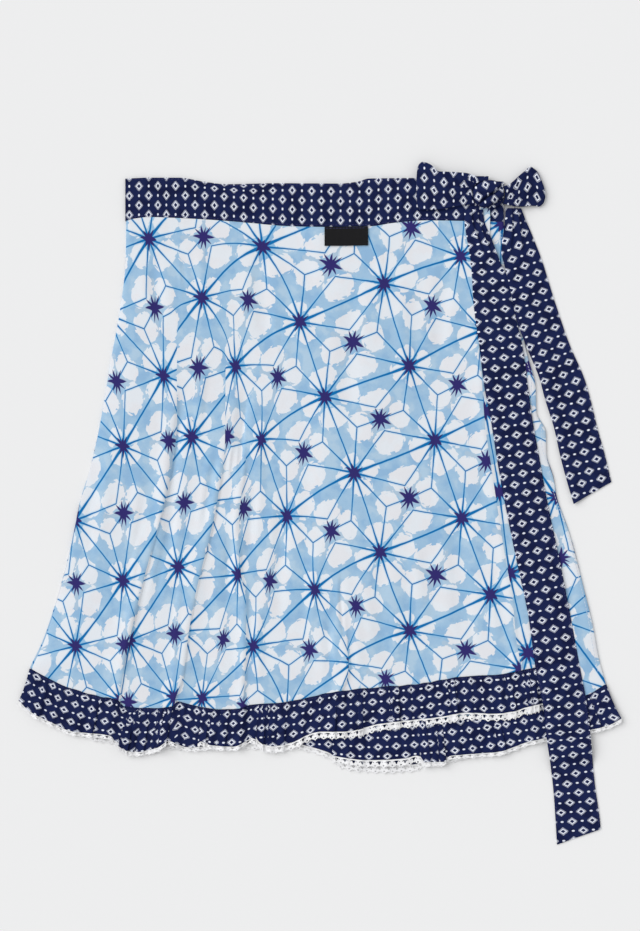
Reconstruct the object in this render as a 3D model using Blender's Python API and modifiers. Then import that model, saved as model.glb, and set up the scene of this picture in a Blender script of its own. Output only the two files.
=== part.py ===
"""A knee-length cotton wrap skirt, laid flat on a table and tied in a bow at its right end.

+X runs to the right along the waistband, +Y from the hem to the waist and +Z up from the table.
The back lies lowest, the inner front on its right half, and the outer front over both. Every
layer is a wall whose underside is the height of what it lies on, so the layers nest. The tables
are in millimetres, from the middle of the laid garment.
"""

import math

import bmesh
import bpy
import numpy as np

MM = 0.001
COLLECTION = "wrap_skirt"

# Walls and layers
WALL = 1.0
LACE_WALL = 1.0
LAYER_GAP = 0.4
SEAM_GAP = 0.3

# The band's two edges: x and y
BAND_TOP = ((-194, 325), (-173, 326), (-141, 326), (-116, 322), (-94, 319.5), (-41, 320.5),
            (20, 320), (38, 322), (49, 325), (97, 325.5), (150, 324), (184, 322))
BAND_BOTTOM = ((-195, 283), (-185, 285.5), (-171, 287), (-141, 286), (-105, 284), (-69, 281),
               (-34, 278), (4, 277), (49, 277.5), (74, 281), (106, 283.5), (184, 282))
INNER_BAND_BOTTOM = 282.5
BAND_LEFT = -194.5
OUTER_BAND_RIGHT = 168
INNER_BAND_LEFT = 2
INNER_BAND_RIGHT = 183.5

# The sides and the two free edges: y and x, from the hem up
LEFT_SIDE = ((-164, -290), (-126, -275.5), (-74, -260.5), (-24, -248), (15, -240), (52, -229),
             (102, -218), (155, -208.5), (202, -199.5), (248, -194), (287, -193.5))
RIGHT_SIDE = ((-182, 286), (-148, 278), (-112, 272), (-82, 265), (-20, 249), (17, 236.5),
              (53, 228), (78, 225), (116, 216), (159, 206), (234, 191), (284, 183))
OUTER_EDGE = ((-164, 229), (-96, 220), (84, 189), (284, 166))
INNER_EDGE = ((-222, 14), (-100, 11), (284, 1))

# The seams that join the ruffles to the panels, and the outer ruffle's loose edge: x and y
OUTER_HEM = ((-290, -164), (-257, -181), (-223, -191.5), (-202, -195.5), (-195.5, -203.5),
             (-180, -204), (-149, -202.5), (-141, -197), (-127, -201), (-100, -205), (-79, -204),
             (-70, -200.5), (-41, -198.5), (-15, -194), (11, -188), (55, -183), (94, -180),
             (145, -172), (180, -170), (196, -167), (229, -160))
INNER_HEM = ((14, -216), (50, -219), (100, -216), (150, -211), (200, -203), (265, -191),
             (286, -180))
BACK_HEM = ((-289, -164), (-257, -180), (-200, -196), (-120, -205), (0, -207), (100, -204),
            (200, -198), (265, -189), (285, -180))
OUTER_RUFFLE_EDGE = ((-301, -196), (-291, -206), (-268, -218), (-247, -227), (-224, -229),
                     (-209, -231), (-203, -239), (-193, -246), (-183, -247.5), (-173, -246),
                     (-160, -242), (-152, -236), (-134, -242.5), (-126, -243), (-119, -236.5),
                     (-109, -240.5), (-87, -242), (-73, -236), (-65, -232), (-59, -239),
                     (-46, -241.5), (-28, -238), (-14, -231), (0, -227), (28, -226.5),
                     (60, -219), (118, -212.5), (146, -208), (173, -209), (194, -206.5),
                     (206, -202.5), (236, -196))
INNER_RUFFLE_EDGE = ((12, -251), (24, -253), (48, -255.5), (83, -254), (99, -250.5),
                     (104, -257.5), (126, -254), (140, -250), (176, -247.5), (211, -236.5),
                     (267, -226), (289, -220.5), (301, -214))
BACK_RUFFLE_EDGE = ((-299, -197), (-250, -225), (-200, -236), (-120, -241), (-24, -239),
                    (-12, -242), (8, -248), (22, -257), (60, -261), (95, -260), (128, -255),
                    (165, -246), (200, -236), (265, -224), (298, -213))

# Ruffle waves: their height, the step between them, and how far they stray from even steps
RUFFLE_DEPTH = 37
WAVES = {
    "outer": {"height": 3.0, "pitch": 19.0, "stray": 0.35},
    "inner": {"height": 2.2, "pitch": 21.0, "stray": 0.30},
    "back": {"height": 0.8, "pitch": 24.0, "stray": 0.25},
}
# The straying comes and goes over two lengths, and the height over a third
STRAY_LENGTH = 37.0
JITTER = 0.2
JITTER_LENGTH = 17.0
HEIGHT_LENGTH = 31.0
LACE_WIDTH = 9.0
SCALLOP_PITCH = 9.8
SCALLOP_DEPTH = 2.2

# Long soft folds of the outer front. The cloth climbs gently from the left and drops on the
# right. "reach" is how far below its start a fold takes to grow to its height. Its grid has a
# column on the ridge, one at its right foot and one this share of the gentle side to the left.
FOLD_SHOULDER = 0.4
FOLDS = (
    {"height": 3.2, "gentle": 22, "steep": 5, "reach": 160,
     "path": ((-196, -201.5), (-130, -189), (-73, -175.5), (-27, -163), (24, -150.5),
              (84, -143), (172, -143))},
    {"height": 3.4, "gentle": 22, "steep": 5, "reach": 160,
     "path": ((-196, -145), (-173, -137.5), (-127, -131), (-90, -124.5), (-25, -108.5),
              (7, -102), (64, -95), (135, -94.5))},
    {"height": 2.4, "gentle": 12, "steep": 9, "reach": 180,
     "path": ((-202, -77), (-136, -74), (-96, -74), (-71, -79), (-20, -82), (6, -79),
              (49, -74), (110, -72))},
    {"height": 1.6, "gentle": 16, "steep": 5, "reach": 60,
     "path": ((-186, 30), (-172, 30.5), (-137, 26), (-116, 23), (-90, 18.5))},
    {"height": 1.5, "gentle": 14, "steep": 4, "reach": 200,
     "path": ((-162, 200.5), (-134, 195.5), (-95, 192), (-52, 184.5), (39, 170.5),
              (84, 164), (165, 159.5), (268, 155))},
)
# Grids: the outer front's columns in each stretch between its sides and its folds' feet, the
# columns of the panels below it, and the rows of each piece
FILL_COLUMNS = (4, 1, 1, 4, 6, 1)
HIDDEN_COLUMNS = 14
ROWS = {"back_panel": 12, "inner_front_panel": 16, "outer_front_panel": 25,
        "waistband_outer": 3, "ruffle_back": 2, "ruffle_inner": 3, "ruffle_outer": 3}
RUFFLE_STEP = {"back": 9.0, "inner": 4.4, "outer": 4.4}
LACE_COLUMNS = 2
TAIL_COLUMNS = 7
TAIL_ROW_STEP = 10.2
LOOP_GRID = (8, 18)
KNOT_GRID = (28, 16)

# The tails of the bow: y, left edge and right edge, from the end up
LONG_TAIL = ((-341, 237, 281), (-324, 236, 280.4), (-282, 233, 275), (-233, 226, 270),
             (-198, 222, 266), (-166, 215.5, 260), (-112, 208, 250), (-53, 195.5, 238.5),
             (4, 184, 226.5), (40, 177.5, 220), (84, 170.5, 212), (117, 164, 207.5),
             (158, 159.5, 202), (188, 155.5, 192.5), (225, 152.3, 187), (257, 150, 175.5),
             (282, 147, 163), (300, 146, 162))
LONG_TAIL_END = (-340.5, -325)
LONG_TAIL_TOP = 294
SHORT_TAIL = ((0, 253.4, 297), (25, 246, 290.5), (48, 240, 285), (77, 233.5, 277),
              (104, 225, 270.5), (126, 219, 264), (158, 205.8, 250), (184.5, 197, 240),
              (221, 190, 229), (240, 184, 223), (260, 181.5, 215.5), (271, 182.7, 211),
              (281, 182, 206.5), (296, 176, 199.5))
SHORT_TAIL_END = (0, 22)
SHORT_TAIL_TOP = 295.3
TAIL_PLEATS = 2.5
TAIL_PLEAT_HEIGHT = 2.0
TAIL_PLEAT_REACH = 90

# The bow's loops: x, lower edge and upper edge, from the left
LEFT_LOOP = ((94, 299, 327), (99, 294.5, 338), (104, 293.5, 341), (110, 293.5, 338.5),
             (119, 294, 331.5), (133, 296.5, 331), (146, 298.5, 330), (156, 299, 327))
RIGHT_LOOP = ((178, 301, 315), (190, 298, 320), (198, 297, 327), (204, 297, 332),
              (210, 298, 336.5), (214, 298, 336.5), (219, 297, 332), (223, 299, 326),
              (226, 303, 315))
# A loop is pinched at the knot and puffed beyond it, sooner the larger LOOP_SWELL. Its two runs
# take the share LOOP_RUN of the strip each, its bend the rest, from LOOP_NOSE inside the nose.
LOOP_PINCH = 0.6
LOOP_PUFF = 2.6
LOOP_SWELL = 1.6
LOOP_RUN = 0.42
LOOP_NOSE = 3.0
LOOP_PLEATS = 3
LOOP_PLEAT_HEIGHT = 0.9
# The knot: its outline is a squared ellipse, the loops and tails stop a little outside it, and
# KNOT_LOW is the share of its height below its widest ring
KNOT_CENTRE = (168, 309)
KNOT_HALF = (15.5, 14)
KNOT_SQUARE = 2.4
KNOT_CLEAR = 0.85
KNOT_HEIGHT = 11.0
KNOT_LOW = 0.32
KNOT_WRAPS = 3.2
KNOT_SLANT = 35
KNOT_FURROW = 0.2

# The woven label, sewn in under the band
LABEL = {"left": 4.5, "right": 48.0, "drop": 19.0, "columns": 6, "rows": 3}

# What crosses an edge stays up for EDGE_STAY past it, then falls to the table over EDGE_FALL
EDGE_STAY = 9.0
EDGE_FALL = 24.0
# What lies on a fold rests on it from this far to each side
FOLD_REST = 3.0
INNER_EDGE_FALL = 22.0

COLOURS = {
    "print": (150, 184, 216),
    "navy": (38, 42, 88),
    "lace": (238, 238, 240),
    "label": (22, 22, 24),
}
ROUGHNESS = {"print": 0.85, "navy": 0.85, "lace": 0.9, "label": 0.6}


def smooth(t):
    """0 below 0, 1 above 1, and an even S between."""
    t = min(max(t, 0.0), 1.0)
    return t * t * (3 - 2 * t)


def mix(a, b, t):
    return a + (b - a) * t


def line_through(rows, column=1):
    """A smooth line through the rows, first column to the given one, that never swings past them."""
    along = [row[0] for row in rows]
    value = [row[column] for row in rows]
    last = len(rows) - 1
    rise = [(value[i + 1] - value[i]) / (along[i + 1] - along[i]) for i in range(last)]
    slope = [rise[0]] + [0.0] * (last - 1) + [rise[-1]]
    for i in range(1, last):
        if rise[i - 1] * rise[i] > 0:
            slope[i] = 2 * rise[i - 1] * rise[i] / (rise[i - 1] + rise[i])

    def value_at(where):
        where = min(max(where, along[0]), along[last])
        i = min(int(np.searchsorted(along, where, side="right")) - 1, last - 1)
        run = along[i + 1] - along[i]
        t = (where - along[i]) / run
        bend = t * t * (3 - 2 * t)
        return (mix(value[i], value[i + 1], bend)
                + run * t * (1 - t) * ((1 - t) * slope[i] - t * slope[i + 1]))

    return value_at


band_top = line_through(BAND_TOP)
band_bottom = line_through(BAND_BOTTOM)
left_side = line_through(LEFT_SIDE)
right_side = line_through(RIGHT_SIDE)
outer_edge = line_through(OUTER_EDGE)
inner_edge = line_through(INNER_EDGE)
outer_hem = line_through(OUTER_HEM)
inner_hem = line_through(INNER_HEM)
back_hem = line_through(BACK_HEM)
outer_ruffle_edge = line_through(OUTER_RUFFLE_EDGE)
inner_ruffle_edge = line_through(INNER_RUFFLE_EDGE)
fold_lines = [line_through(fold["path"]) for fold in FOLDS]


# ---------------------------------------------------------------- heights of the layers

def ruffle_depth_at(x, y, hem):
    """0 at the seam and 1 a ruffle's depth below it."""
    return smooth((hem(x) - y) / RUFFLE_DEPTH)


def wave(x, y, hem, kind):
    """The height of a ruffle's waves: none at the seam, full at the loose edge."""
    shape = WAVES[kind]
    step = x / shape["pitch"] + shape["stray"] * math.sin(x / STRAY_LENGTH)
    step += JITTER * math.sin(x / JITTER_LENGTH + 1)
    size = 0.75 + 0.25 * math.sin(x / HEIGHT_LENGTH + 2)
    lift = 0.5 + 0.5 * math.sin(math.tau * step)
    return shape["height"] * ruffle_depth_at(x, y, hem) * size * lift


def crest(x, y, hem, kind):
    """The height of the waves' crests, on which the next layer lies."""
    return WAVES[kind]["height"] * ruffle_depth_at(x, y, hem)


def fold_relief(x, y):
    """The height of the outer front's long folds."""
    height = 0.0
    for fold, line in zip(FOLDS, fold_lines):
        grown = smooth((fold["path"][-1][0] - y) / fold["reach"])
        away = x - line(y)
        width = fold["steep"] if away > 0 else fold["gentle"]
        height += fold["height"] * grown * smooth(1 - abs(away) / width)
    return height


def over_inner(x, y):
    """1 over the inner front, falling to 0 left of its free edge."""
    return smooth(1 + (x - inner_edge(y) + 2) / INNER_EDGE_FALL)


def inner_floor(x, y):
    return WALL + crest(x, y, back_hem, "back") + LAYER_GAP


def outer_floor(x, y):
    under = WALL + crest(x, y, inner_hem, "inner") + LAYER_GAP
    return inner_floor(x, y) + over_inner(x, y) * under


def folded_floor(x, y):
    return outer_floor(x, y) + fold_relief(x, y)


def fall(past):
    """1 up to an edge and a little past it, then down to 0."""
    return 1 - smooth((past - EDGE_STAY) / EDGE_FALL)


def cover(x, y, right, low):
    """1 over a layer with this right edge and this lower edge, falling to 0 outside them."""
    return fall(x - right(y)) * fall(low(x) - LACE_WIDTH - y) * fall(y - band_top(x))


def laid_height(x, y):
    """The top of the skirt where the bow and its tails lie, down to the table beside it."""
    on_inner = cover(x, y, right_side, inner_ruffle_edge)
    on_outer = cover(x, y, outer_edge, outer_ruffle_edge)
    inner_top = inner_floor(x, y) + crest(x, y, inner_hem, "inner") + WALL
    fold = max(fold_relief(x + reach, y) for reach in (-FOLD_REST, 0, FOLD_REST))
    outer_top = outer_floor(x, y) + fold + crest(x, y, outer_hem, "outer") + WALL
    return on_inner * (inner_top + LAYER_GAP) + on_outer * (outer_top - inner_top)


# ---------------------------------------------------------------- making the pieces

def linear(colour):
    """A colour in 0 to 255 as the shader's linear values."""
    return tuple((channel / 255) ** 2.2 for channel in colour) + (1,)


def cloth_material(name, kind):
    material = bpy.data.materials.new(name)
    material.use_nodes = True
    shader = material.node_tree.nodes["Principled BSDF"]
    shader.inputs["Base Color"].default_value = linear(COLOURS[kind])
    shader.inputs["Roughness"].default_value = ROUGHNESS[kind]
    shader.inputs["Metallic"].default_value = 0.0
    return material


def finish(name, mesh_data, kind):
    """Makes the mesh an object of the part, in metres, with a material of its own."""
    mesh = bpy.data.meshes.new(name)
    mesh_data.to_mesh(mesh)
    mesh_data.free()
    mesh.shade_smooth()
    mesh.set_sharp_from_angle(angle=math.radians(50))
    mesh.materials.append(cloth_material(name, kind))
    piece = bpy.data.objects.new(name, mesh)
    bpy.data.collections[COLLECTION].objects.link(piece)
    return piece


def grid(columns, rows, place):
    """A grid whose points go to place(u, v), with u and v from 0 to 1, in millimetres."""
    sheet = bmesh.new()
    bmesh.ops.create_grid(sheet, x_segments=columns, y_segments=rows, size=0.5)
    for point in sheet.verts:
        point.co = place(point.co.x + 0.5, point.co.y + 0.5)
    bmesh.ops.scale(sheet, vec=(MM, MM, MM), verts=sheet.verts)
    return sheet


def laid_wall(name, columns, rows, place, kind, extra=None):
    """A sheet of cloth over place(u, v), raised by its thickness to a closed wall.

    extra(x, y) adds to the thickness where the underside has to stay flat.
    """
    thickness = LACE_WALL if kind == "lace" else WALL
    sheet = grid(columns, rows, place)
    raised = bmesh.ops.extrude_face_region(sheet, geom=sheet.faces[:])
    for point in raised["geom"]:
        if isinstance(point, bmesh.types.BMVert):
            more = extra(point.co.x / MM, point.co.y / MM) if extra else 0.0
            point.co.z += (thickness + more) * MM
    bmesh.ops.recalc_face_normals(sheet, faces=sheet.faces)
    return finish(name, sheet, kind)


def bent_wall(name, columns, rows, place, kind):
    """A sheet over place(u, v) that folds back on itself, with the wall half to each side."""
    piece = finish(name, grid(columns, rows, place), kind)
    wall = piece.modifiers.new("Wall", "SOLIDIFY")
    wall.thickness = WALL * MM
    wall.offset = 0
    return piece


def flat(x, y):
    return 0.0


# ---------------------------------------------------------------- panels

def front_stops(y):
    """The x of each column of the outer front at this y: its sides, its folds and what lies between."""
    stops = [left_side(y)]
    spans = []
    for fold, line in zip(FOLDS, fold_lines):
        ridge = line(y)
        spans.append((stops[-1], ridge - fold["gentle"]))
        stops += [ridge - FOLD_SHOULDER * fold["gentle"], ridge, ridge + fold["steep"]]
    spans.append((stops[-1], outer_edge(y)))
    columns = [left_side(y)]
    for i, (start, end) in enumerate(spans):
        steps = FILL_COLUMNS[i]
        columns += [mix(start, end, k / steps) for k in range(1, steps + 1)]
        columns += stops[1 + 3 * i:4 + 3 * i]
    return columns


FRONT_COLUMNS = len(front_stops(0)) - 1


def outer_front_place(u, v):
    column = round(u * FRONT_COLUMNS)
    level = mix(OUTER_HEM[-1][1], BAND_BOTTOM[-1][1], v)
    x = front_stops(level)[column]
    y = mix(outer_hem(x), band_bottom(x) - SEAM_GAP, v)
    return (x, y, folded_floor(x, y))


def side_to_side(left, right, hem_rows, floor):
    """place(u, v) for a hidden panel between two sides, from its hem up to its band."""
    hem = line_through(hem_rows)

    def place(u, v):
        x_left = left(mix(hem_rows[0][1], INNER_BAND_BOTTOM, v))
        x_right = right(mix(hem_rows[-1][1], INNER_BAND_BOTTOM, v))
        x = mix(x_left, x_right, u)
        y = mix(hem(x), INNER_BAND_BOTTOM - SEAM_GAP, v)
        return (x, y, floor(x, y))
    return place


back_place = side_to_side(left_side, right_side, BACK_HEM, flat)
inner_front_place = side_to_side(inner_edge, right_side, INNER_HEM, inner_floor)


def hidden_band_place(left, right, floor):
    def place(u, v):
        x = mix(left, right, u)
        y = mix(INNER_BAND_BOTTOM, band_top(x), v)
        return (x, y, floor(x, y))
    return place


def outer_band_place(u, v):
    """The outer band has the columns of the panel below it, so that the two meet evenly."""
    stops = front_stops(BAND_BOTTOM[-1][1])[:-1] + [OUTER_BAND_RIGHT]
    x = stops[round(u * FRONT_COLUMNS)]
    y = mix(band_bottom(x), band_top(x), v)
    return (x, y, outer_floor(x, y))


def make_panels():
    for name, columns, place in (
            ("back_panel", HIDDEN_COLUMNS, back_place),
            ("inner_front_panel", HIDDEN_COLUMNS, inner_front_place),
            ("outer_front_panel", FRONT_COLUMNS, outer_front_place)):
        laid_wall(name, columns, ROWS[name], place, "print")


def make_bands():
    laid_wall("waistband_back", 2 * HIDDEN_COLUMNS, 1,
              hidden_band_place(BAND_LEFT, INNER_BAND_RIGHT, flat), "navy")
    laid_wall("waistband_inner", HIDDEN_COLUMNS, 1,
              hidden_band_place(INNER_BAND_LEFT, INNER_BAND_RIGHT, inner_floor), "navy")
    laid_wall("waistband_outer", FRONT_COLUMNS, ROWS["waistband_outer"], outer_band_place, "navy")


# ---------------------------------------------------------------- ruffles and lace

def subdivided(stops, step):
    """The stops with more between them, about a step apart."""
    fine = [stops[0]]
    for start, end in zip(stops, stops[1:]):
        parts = max(1, round((end - start) / step))
        fine += [mix(start, end, k / parts) for k in range(1, parts + 1)]
    return fine


def hem_points(place, columns):
    """The lower edge of a panel as its grid cuts it."""
    return [place(k / columns, 0)[:2] for k in range(columns + 1)]


def cut_line(points):
    """The straight runs through these points."""
    def value_at(x):
        return float(np.interp(x, [p[0] for p in points], [p[1] for p in points]))
    return value_at


def make_ruffle(kind, hem, seam_points, edge_rows, floor):
    """A ruffle from its seam to its loose edge, and the lace on that edge.

    Its columns take in those of the panel above, so that the two meet evenly along the seam.
    """
    seam = cut_line(seam_points)
    edge = line_through(edge_rows)
    tops = subdivided([p[0] for p in seam_points], RUFFLE_STEP[kind])
    reach = (edge_rows[-1][0] - edge_rows[0][0]) / (tops[-1] - tops[0])
    lows = [edge_rows[0][0] + reach * (x - tops[0]) for x in tops]
    columns = len(tops) - 1
    flat_below = floor is flat

    def height(x, y):
        return 0.0 if flat_below else floor(x, y) + wave(x, y, hem, kind)

    def extra(x, y):
        return wave(x, y, hem, kind)

    def ruffle_place(u, v):
        column = round(u * columns)
        x = mix(lows[column], tops[column], v)
        y = mix(edge(lows[column]), seam(tops[column]) - SEAM_GAP, v)
        return (x, y, height(x, y))

    edge_cut = cut_line([(x, edge(x)) for x in lows])
    lace_columns = columns * LACE_COLUMNS

    def lace_place(u, v):
        x = float(np.interp(u * columns, range(columns + 1), lows))
        high = edge_cut(x) - SEAM_GAP
        scallop = SCALLOP_DEPTH * abs(math.sin(math.pi * (x - lows[0]) / SCALLOP_PITCH))
        y = mix(high - LACE_WIDTH + SCALLOP_DEPTH - scallop, high, v)
        return (x, y, height(x, y))

    name = "ruffle_" + kind
    laid_wall(name, columns, ROWS[name], ruffle_place, "navy", extra if flat_below else None)
    laid_wall("lace_" + kind, lace_columns, 1, lace_place, "lace")


def make_ruffles():
    back_points = hem_points(back_place, HIDDEN_COLUMNS)
    inner_points = hem_points(inner_front_place, HIDDEN_COLUMNS)
    outer_points = hem_points(outer_front_place, FRONT_COLUMNS)
    make_ruffle("back", back_hem, back_points, BACK_RUFFLE_EDGE, flat)
    make_ruffle("inner", inner_hem, inner_points, INNER_RUFFLE_EDGE, inner_floor)
    make_ruffle("outer", outer_hem, outer_points, OUTER_RUFFLE_EDGE, folded_floor)


# ---------------------------------------------------------------- bow

def squared_round(share):
    """The knot's half outline, as a share of its size, at a share of the way to its side."""
    share = min(abs(share), 1.0)
    return (1 - share ** KNOT_SQUARE) ** (1 / KNOT_SQUARE)


def knot_low(x):
    """The y just below the knot at this x."""
    across = (x - KNOT_CENTRE[0]) / (KNOT_HALF[0] + KNOT_CLEAR)
    return KNOT_CENTRE[1] - (KNOT_HALF[1] + KNOT_CLEAR) * squared_round(across)


def knot_side(y, side, step):
    """The x outside the knot, on its left (-1) or right (+1), at this y and a step above and below."""
    nearest = max(abs(y - KNOT_CENTRE[1]) - step, 0)
    up = nearest / (KNOT_HALF[1] + KNOT_CLEAR)
    return KNOT_CENTRE[0] + side * (KNOT_HALF[0] + KNOT_CLEAR) * squared_round(up)


def make_tail(name, rows, end, top):
    """A tie end that hangs from the knot and lies over the skirt and the table."""
    count = round((top - end[0]) / TAIL_ROW_STEP)
    left_line = line_through(rows, 1)
    right_line = line_through(rows, 2)

    def place(u, v):
        x_top = mix(left_line(top), right_line(top), u)
        y_top = min(knot_low(x_top), top)
        y = mix(mix(*end, u), y_top, v)
        x = mix(left_line(y), right_line(y), u)
        gathered = smooth(1 - (y_top - y) / TAIL_PLEAT_REACH)
        pleat = TAIL_PLEAT_HEIGHT * gathered * (0.5 - 0.5 * math.cos(math.tau * TAIL_PLEATS * u))
        return (x, y, laid_height(x, y) + pleat)

    laid_wall(name, TAIL_COLUMNS, count, place, "navy")


def make_loop(name, rows, side):
    """A loop of the bow: a strip that leaves the knot below, turns and comes back above."""
    low_line = line_through(rows, 1)
    high_line = line_through(rows, 2)
    nose = rows[0][0] if side < 0 else rows[-1][0]
    root = KNOT_CENTRE[0] + side * KNOT_HALF[0]
    root_width = high_line(root) - low_line(root)

    def place(u, v):
        lower = v < 0.5
        along = min(v, 1 - v) / LOOP_RUN
        far = min(along, 1.0)
        start = knot_side(low_line(root) + root_width * u, side, root_width / LOOP_GRID[0])
        x = mix(start, nose - side * LOOP_NOSE, far)
        y = mix(low_line(x), high_line(x), u)
        gap = LOOP_PINCH + LOOP_PUFF * smooth(far * LOOP_SWELL)
        turn = 0.0 if along <= 1 else (along - 1) / (0.5 / LOOP_RUN - 1)
        half = (WALL + gap) / 2
        bend = math.radians(90) * turn
        x += side * half * math.sin(bend)
        height = half - half * math.cos(bend) if lower else half + half * math.cos(bend)
        gathered = 0.0 if lower else LOOP_PLEAT_HEIGHT * (1 - smooth(far))
        pleat = gathered * (0.5 - 0.5 * math.cos(math.tau * LOOP_PLEATS * u))
        return (x, y, laid_height(x, y) + WALL / 2 + height + pleat)

    bent_wall(name, *LOOP_GRID, place, "navy")


def make_knot():
    """The knot: a flattened, squared ball with slanting furrows on top, seated on the band."""
    ball = bmesh.new()
    bmesh.ops.create_uvsphere(ball, u_segments=KNOT_GRID[0], v_segments=KNOT_GRID[1], radius=1.0)
    seat = laid_height(*KNOT_CENTRE)
    slant = math.radians(KNOT_SLANT)
    for point in ball.verts:
        x, y, z = point.co
        corner = (abs(x) ** KNOT_SQUARE + abs(y) ** KNOT_SQUARE) ** (1 / KNOT_SQUARE)
        spread = math.hypot(x, y) / max(corner, 0.001)
        across = (x * math.cos(slant) + y * math.sin(slant)) / 2
        furrow = 0.5 + 0.5 * math.cos(math.tau * KNOT_WRAPS * across)
        share = KNOT_LOW + (1 - KNOT_LOW) * z
        if z > 0:
            share *= 1 - KNOT_FURROW * furrow
        x_at = KNOT_CENTRE[0] + KNOT_HALF[0] * spread * x
        y_at = KNOT_CENTRE[1] + KNOT_HALF[1] * spread * y
        point.co = (x_at, y_at, max(seat + KNOT_HEIGHT * share, laid_height(x_at, y_at)))
    bmesh.ops.scale(ball, vec=(MM, MM, MM), verts=ball.verts)
    finish("bow_knot", ball, "navy")


def make_bow():
    make_tail("tie_long", LONG_TAIL, LONG_TAIL_END, LONG_TAIL_TOP)
    make_tail("tie_short", SHORT_TAIL, SHORT_TAIL_END, SHORT_TAIL_TOP)
    make_loop("bow_loop_left", LEFT_LOOP, -1)
    make_loop("bow_loop_right", RIGHT_LOOP, 1)
    make_knot()


def make_label():
    """The label lies on the outer front, a wall above its points."""
    def place(u, v):
        x = mix(LABEL["left"], LABEL["right"], u)
        high = band_bottom(x) - SEAM_GAP
        y = mix(high - LABEL["drop"], high, v)
        return (x, y, folded_floor(x, y) + WALL + SEAM_GAP)

    laid_wall("label", LABEL["columns"], LABEL["rows"], place, "label")


def clear_scene():
    for old in list(bpy.data.objects):
        bpy.data.objects.remove(old, do_unlink=True)


def main():
    clear_scene()
    bpy.context.scene.collection.children.link(bpy.data.collections.new(COLLECTION))
    make_panels()
    make_bands()
    make_ruffles()
    make_bow()
    make_label()


main()
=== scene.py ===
"""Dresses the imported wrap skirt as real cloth.

Each packed wall gives way to a thin cotton shell on the same form, with its folds, gathers and
creases, its print, and the lace, label and stitches. The tables are in millimetres from the
middle of the laid garment: +X along the waistband to the bow, +Y from the hem to the waist and
+Z up from the table. They repeat the sizes that the walls were made with.
"""

import math

import bmesh
import bpy
import numpy as np
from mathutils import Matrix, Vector


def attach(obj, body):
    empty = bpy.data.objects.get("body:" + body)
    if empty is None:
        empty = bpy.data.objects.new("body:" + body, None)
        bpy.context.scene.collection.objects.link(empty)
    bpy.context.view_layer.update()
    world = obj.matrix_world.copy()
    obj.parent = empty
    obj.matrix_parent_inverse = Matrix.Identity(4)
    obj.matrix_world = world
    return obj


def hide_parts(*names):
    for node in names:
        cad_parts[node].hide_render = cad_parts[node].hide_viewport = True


MM = 0.001

# ---------------------------------------------------------------- sizes

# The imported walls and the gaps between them, and how thick each cloth is made here
WALL = 1.0
LAYER_GAP = 0.4
SEAM_GAP = 0.3
COTTON = 0.5
DOUBLED_COTTON = 0.8
LACE_YARN = 0.4

# The band's two edges: x and y
BAND_TOP = ((-194, 325), (-173, 326), (-141, 326), (-116, 322), (-94, 319.5), (-41, 320.5),
            (20, 320), (38, 322), (49, 325), (97, 325.5), (150, 324), (184, 322))
BAND_BOTTOM = ((-195, 283), (-185, 285.5), (-171, 287), (-141, 286), (-105, 284), (-69, 281),
               (-34, 278), (4, 277), (49, 277.5), (74, 281), (106, 283.5), (184, 282))
INNER_BAND_BOTTOM = 282.5
BAND_LEFT = -194.5
OUTER_BAND_RIGHT = 168
INNER_BAND_LEFT = 2
INNER_BAND_RIGHT = 183.5

# The sides and the two free edges: y and x, from the hem up
LEFT_SIDE = ((-164, -290), (-126, -275.5), (-74, -260.5), (-24, -248), (15, -240), (52, -229),
             (102, -218), (155, -208.5), (202, -199.5), (248, -194), (287, -193.5))
RIGHT_SIDE = ((-182, 286), (-148, 278), (-112, 272), (-82, 265), (-20, 249), (17, 236.5),
              (36, 233), (59, 226), (80, 225.5), (99, 216.2), (122, 215.5), (159, 206),
              (234, 191), (284, 183))
OUTER_EDGE = ((-164, 229), (-96, 220), (84, 189), (284, 166))
INNER_EDGE = ((-222, 14), (-100, 11), (284, 1))

# For each layer, the seam that joins its ruffle to its panel, and the ruffle's loose edge: x and y
HEM = {
    "outer": ((-290, -164), (-257, -181), (-223, -191.5), (-202, -195.5), (-195.5, -203.5),
              (-180, -204), (-149, -202.5), (-141, -197), (-127, -201), (-100, -205), (-79, -204),
              (-70, -200.5), (-41, -198.5), (-15, -194), (11, -188), (55, -183), (94, -180),
              (145, -172), (180, -170), (196, -167), (229, -160)),
    "inner": ((14, -216), (50, -219), (100, -216), (150, -211), (200, -203), (265, -191),
              (286, -180)),
    "back": ((-289, -164), (-257, -180), (-200, -196), (-120, -205), (0, -207), (100, -204),
             (200, -198), (265, -189), (285, -180)),
}
RUFFLE_EDGE = {
    "outer": ((-301, -196), (-291, -206), (-268, -218), (-247, -227), (-224, -229), (-209, -231),
              (-203, -239), (-193, -246), (-183, -247.5), (-173, -246), (-160, -242), (-152, -236),
              (-134, -242.5), (-126, -243), (-119, -236.5), (-109, -240.5), (-87, -242),
              (-73, -236), (-65, -232), (-59, -239), (-46, -241.5), (-28, -238), (-14, -231),
              (0, -227), (28, -226.5), (60, -219), (118, -212.5), (146, -208), (173, -209),
              (194, -206.5), (206, -202.5), (236, -196)),
    "inner": ((12, -251), (24, -253), (48, -255.5), (83, -254), (99, -250.5), (104, -257.5),
              (124, -257), (128.5, -251.5), (142, -250), (176, -247.5), (211, -236.5),
              (267, -226), (289, -220.5), (301, -214)),
    "back": ((-299, -197), (-250, -225), (-200, -236), (-120, -241), (-24, -239), (-12, -242),
             (8, -248), (22, -257), (60, -261), (95, -260), (128, -255), (165, -246), (200, -236),
             (265, -224), (298, -213)),
}
RUFFLE_DEPTH = 37
CREST = {"outer": 3.0, "inner": 2.2, "back": 0.8}

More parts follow.
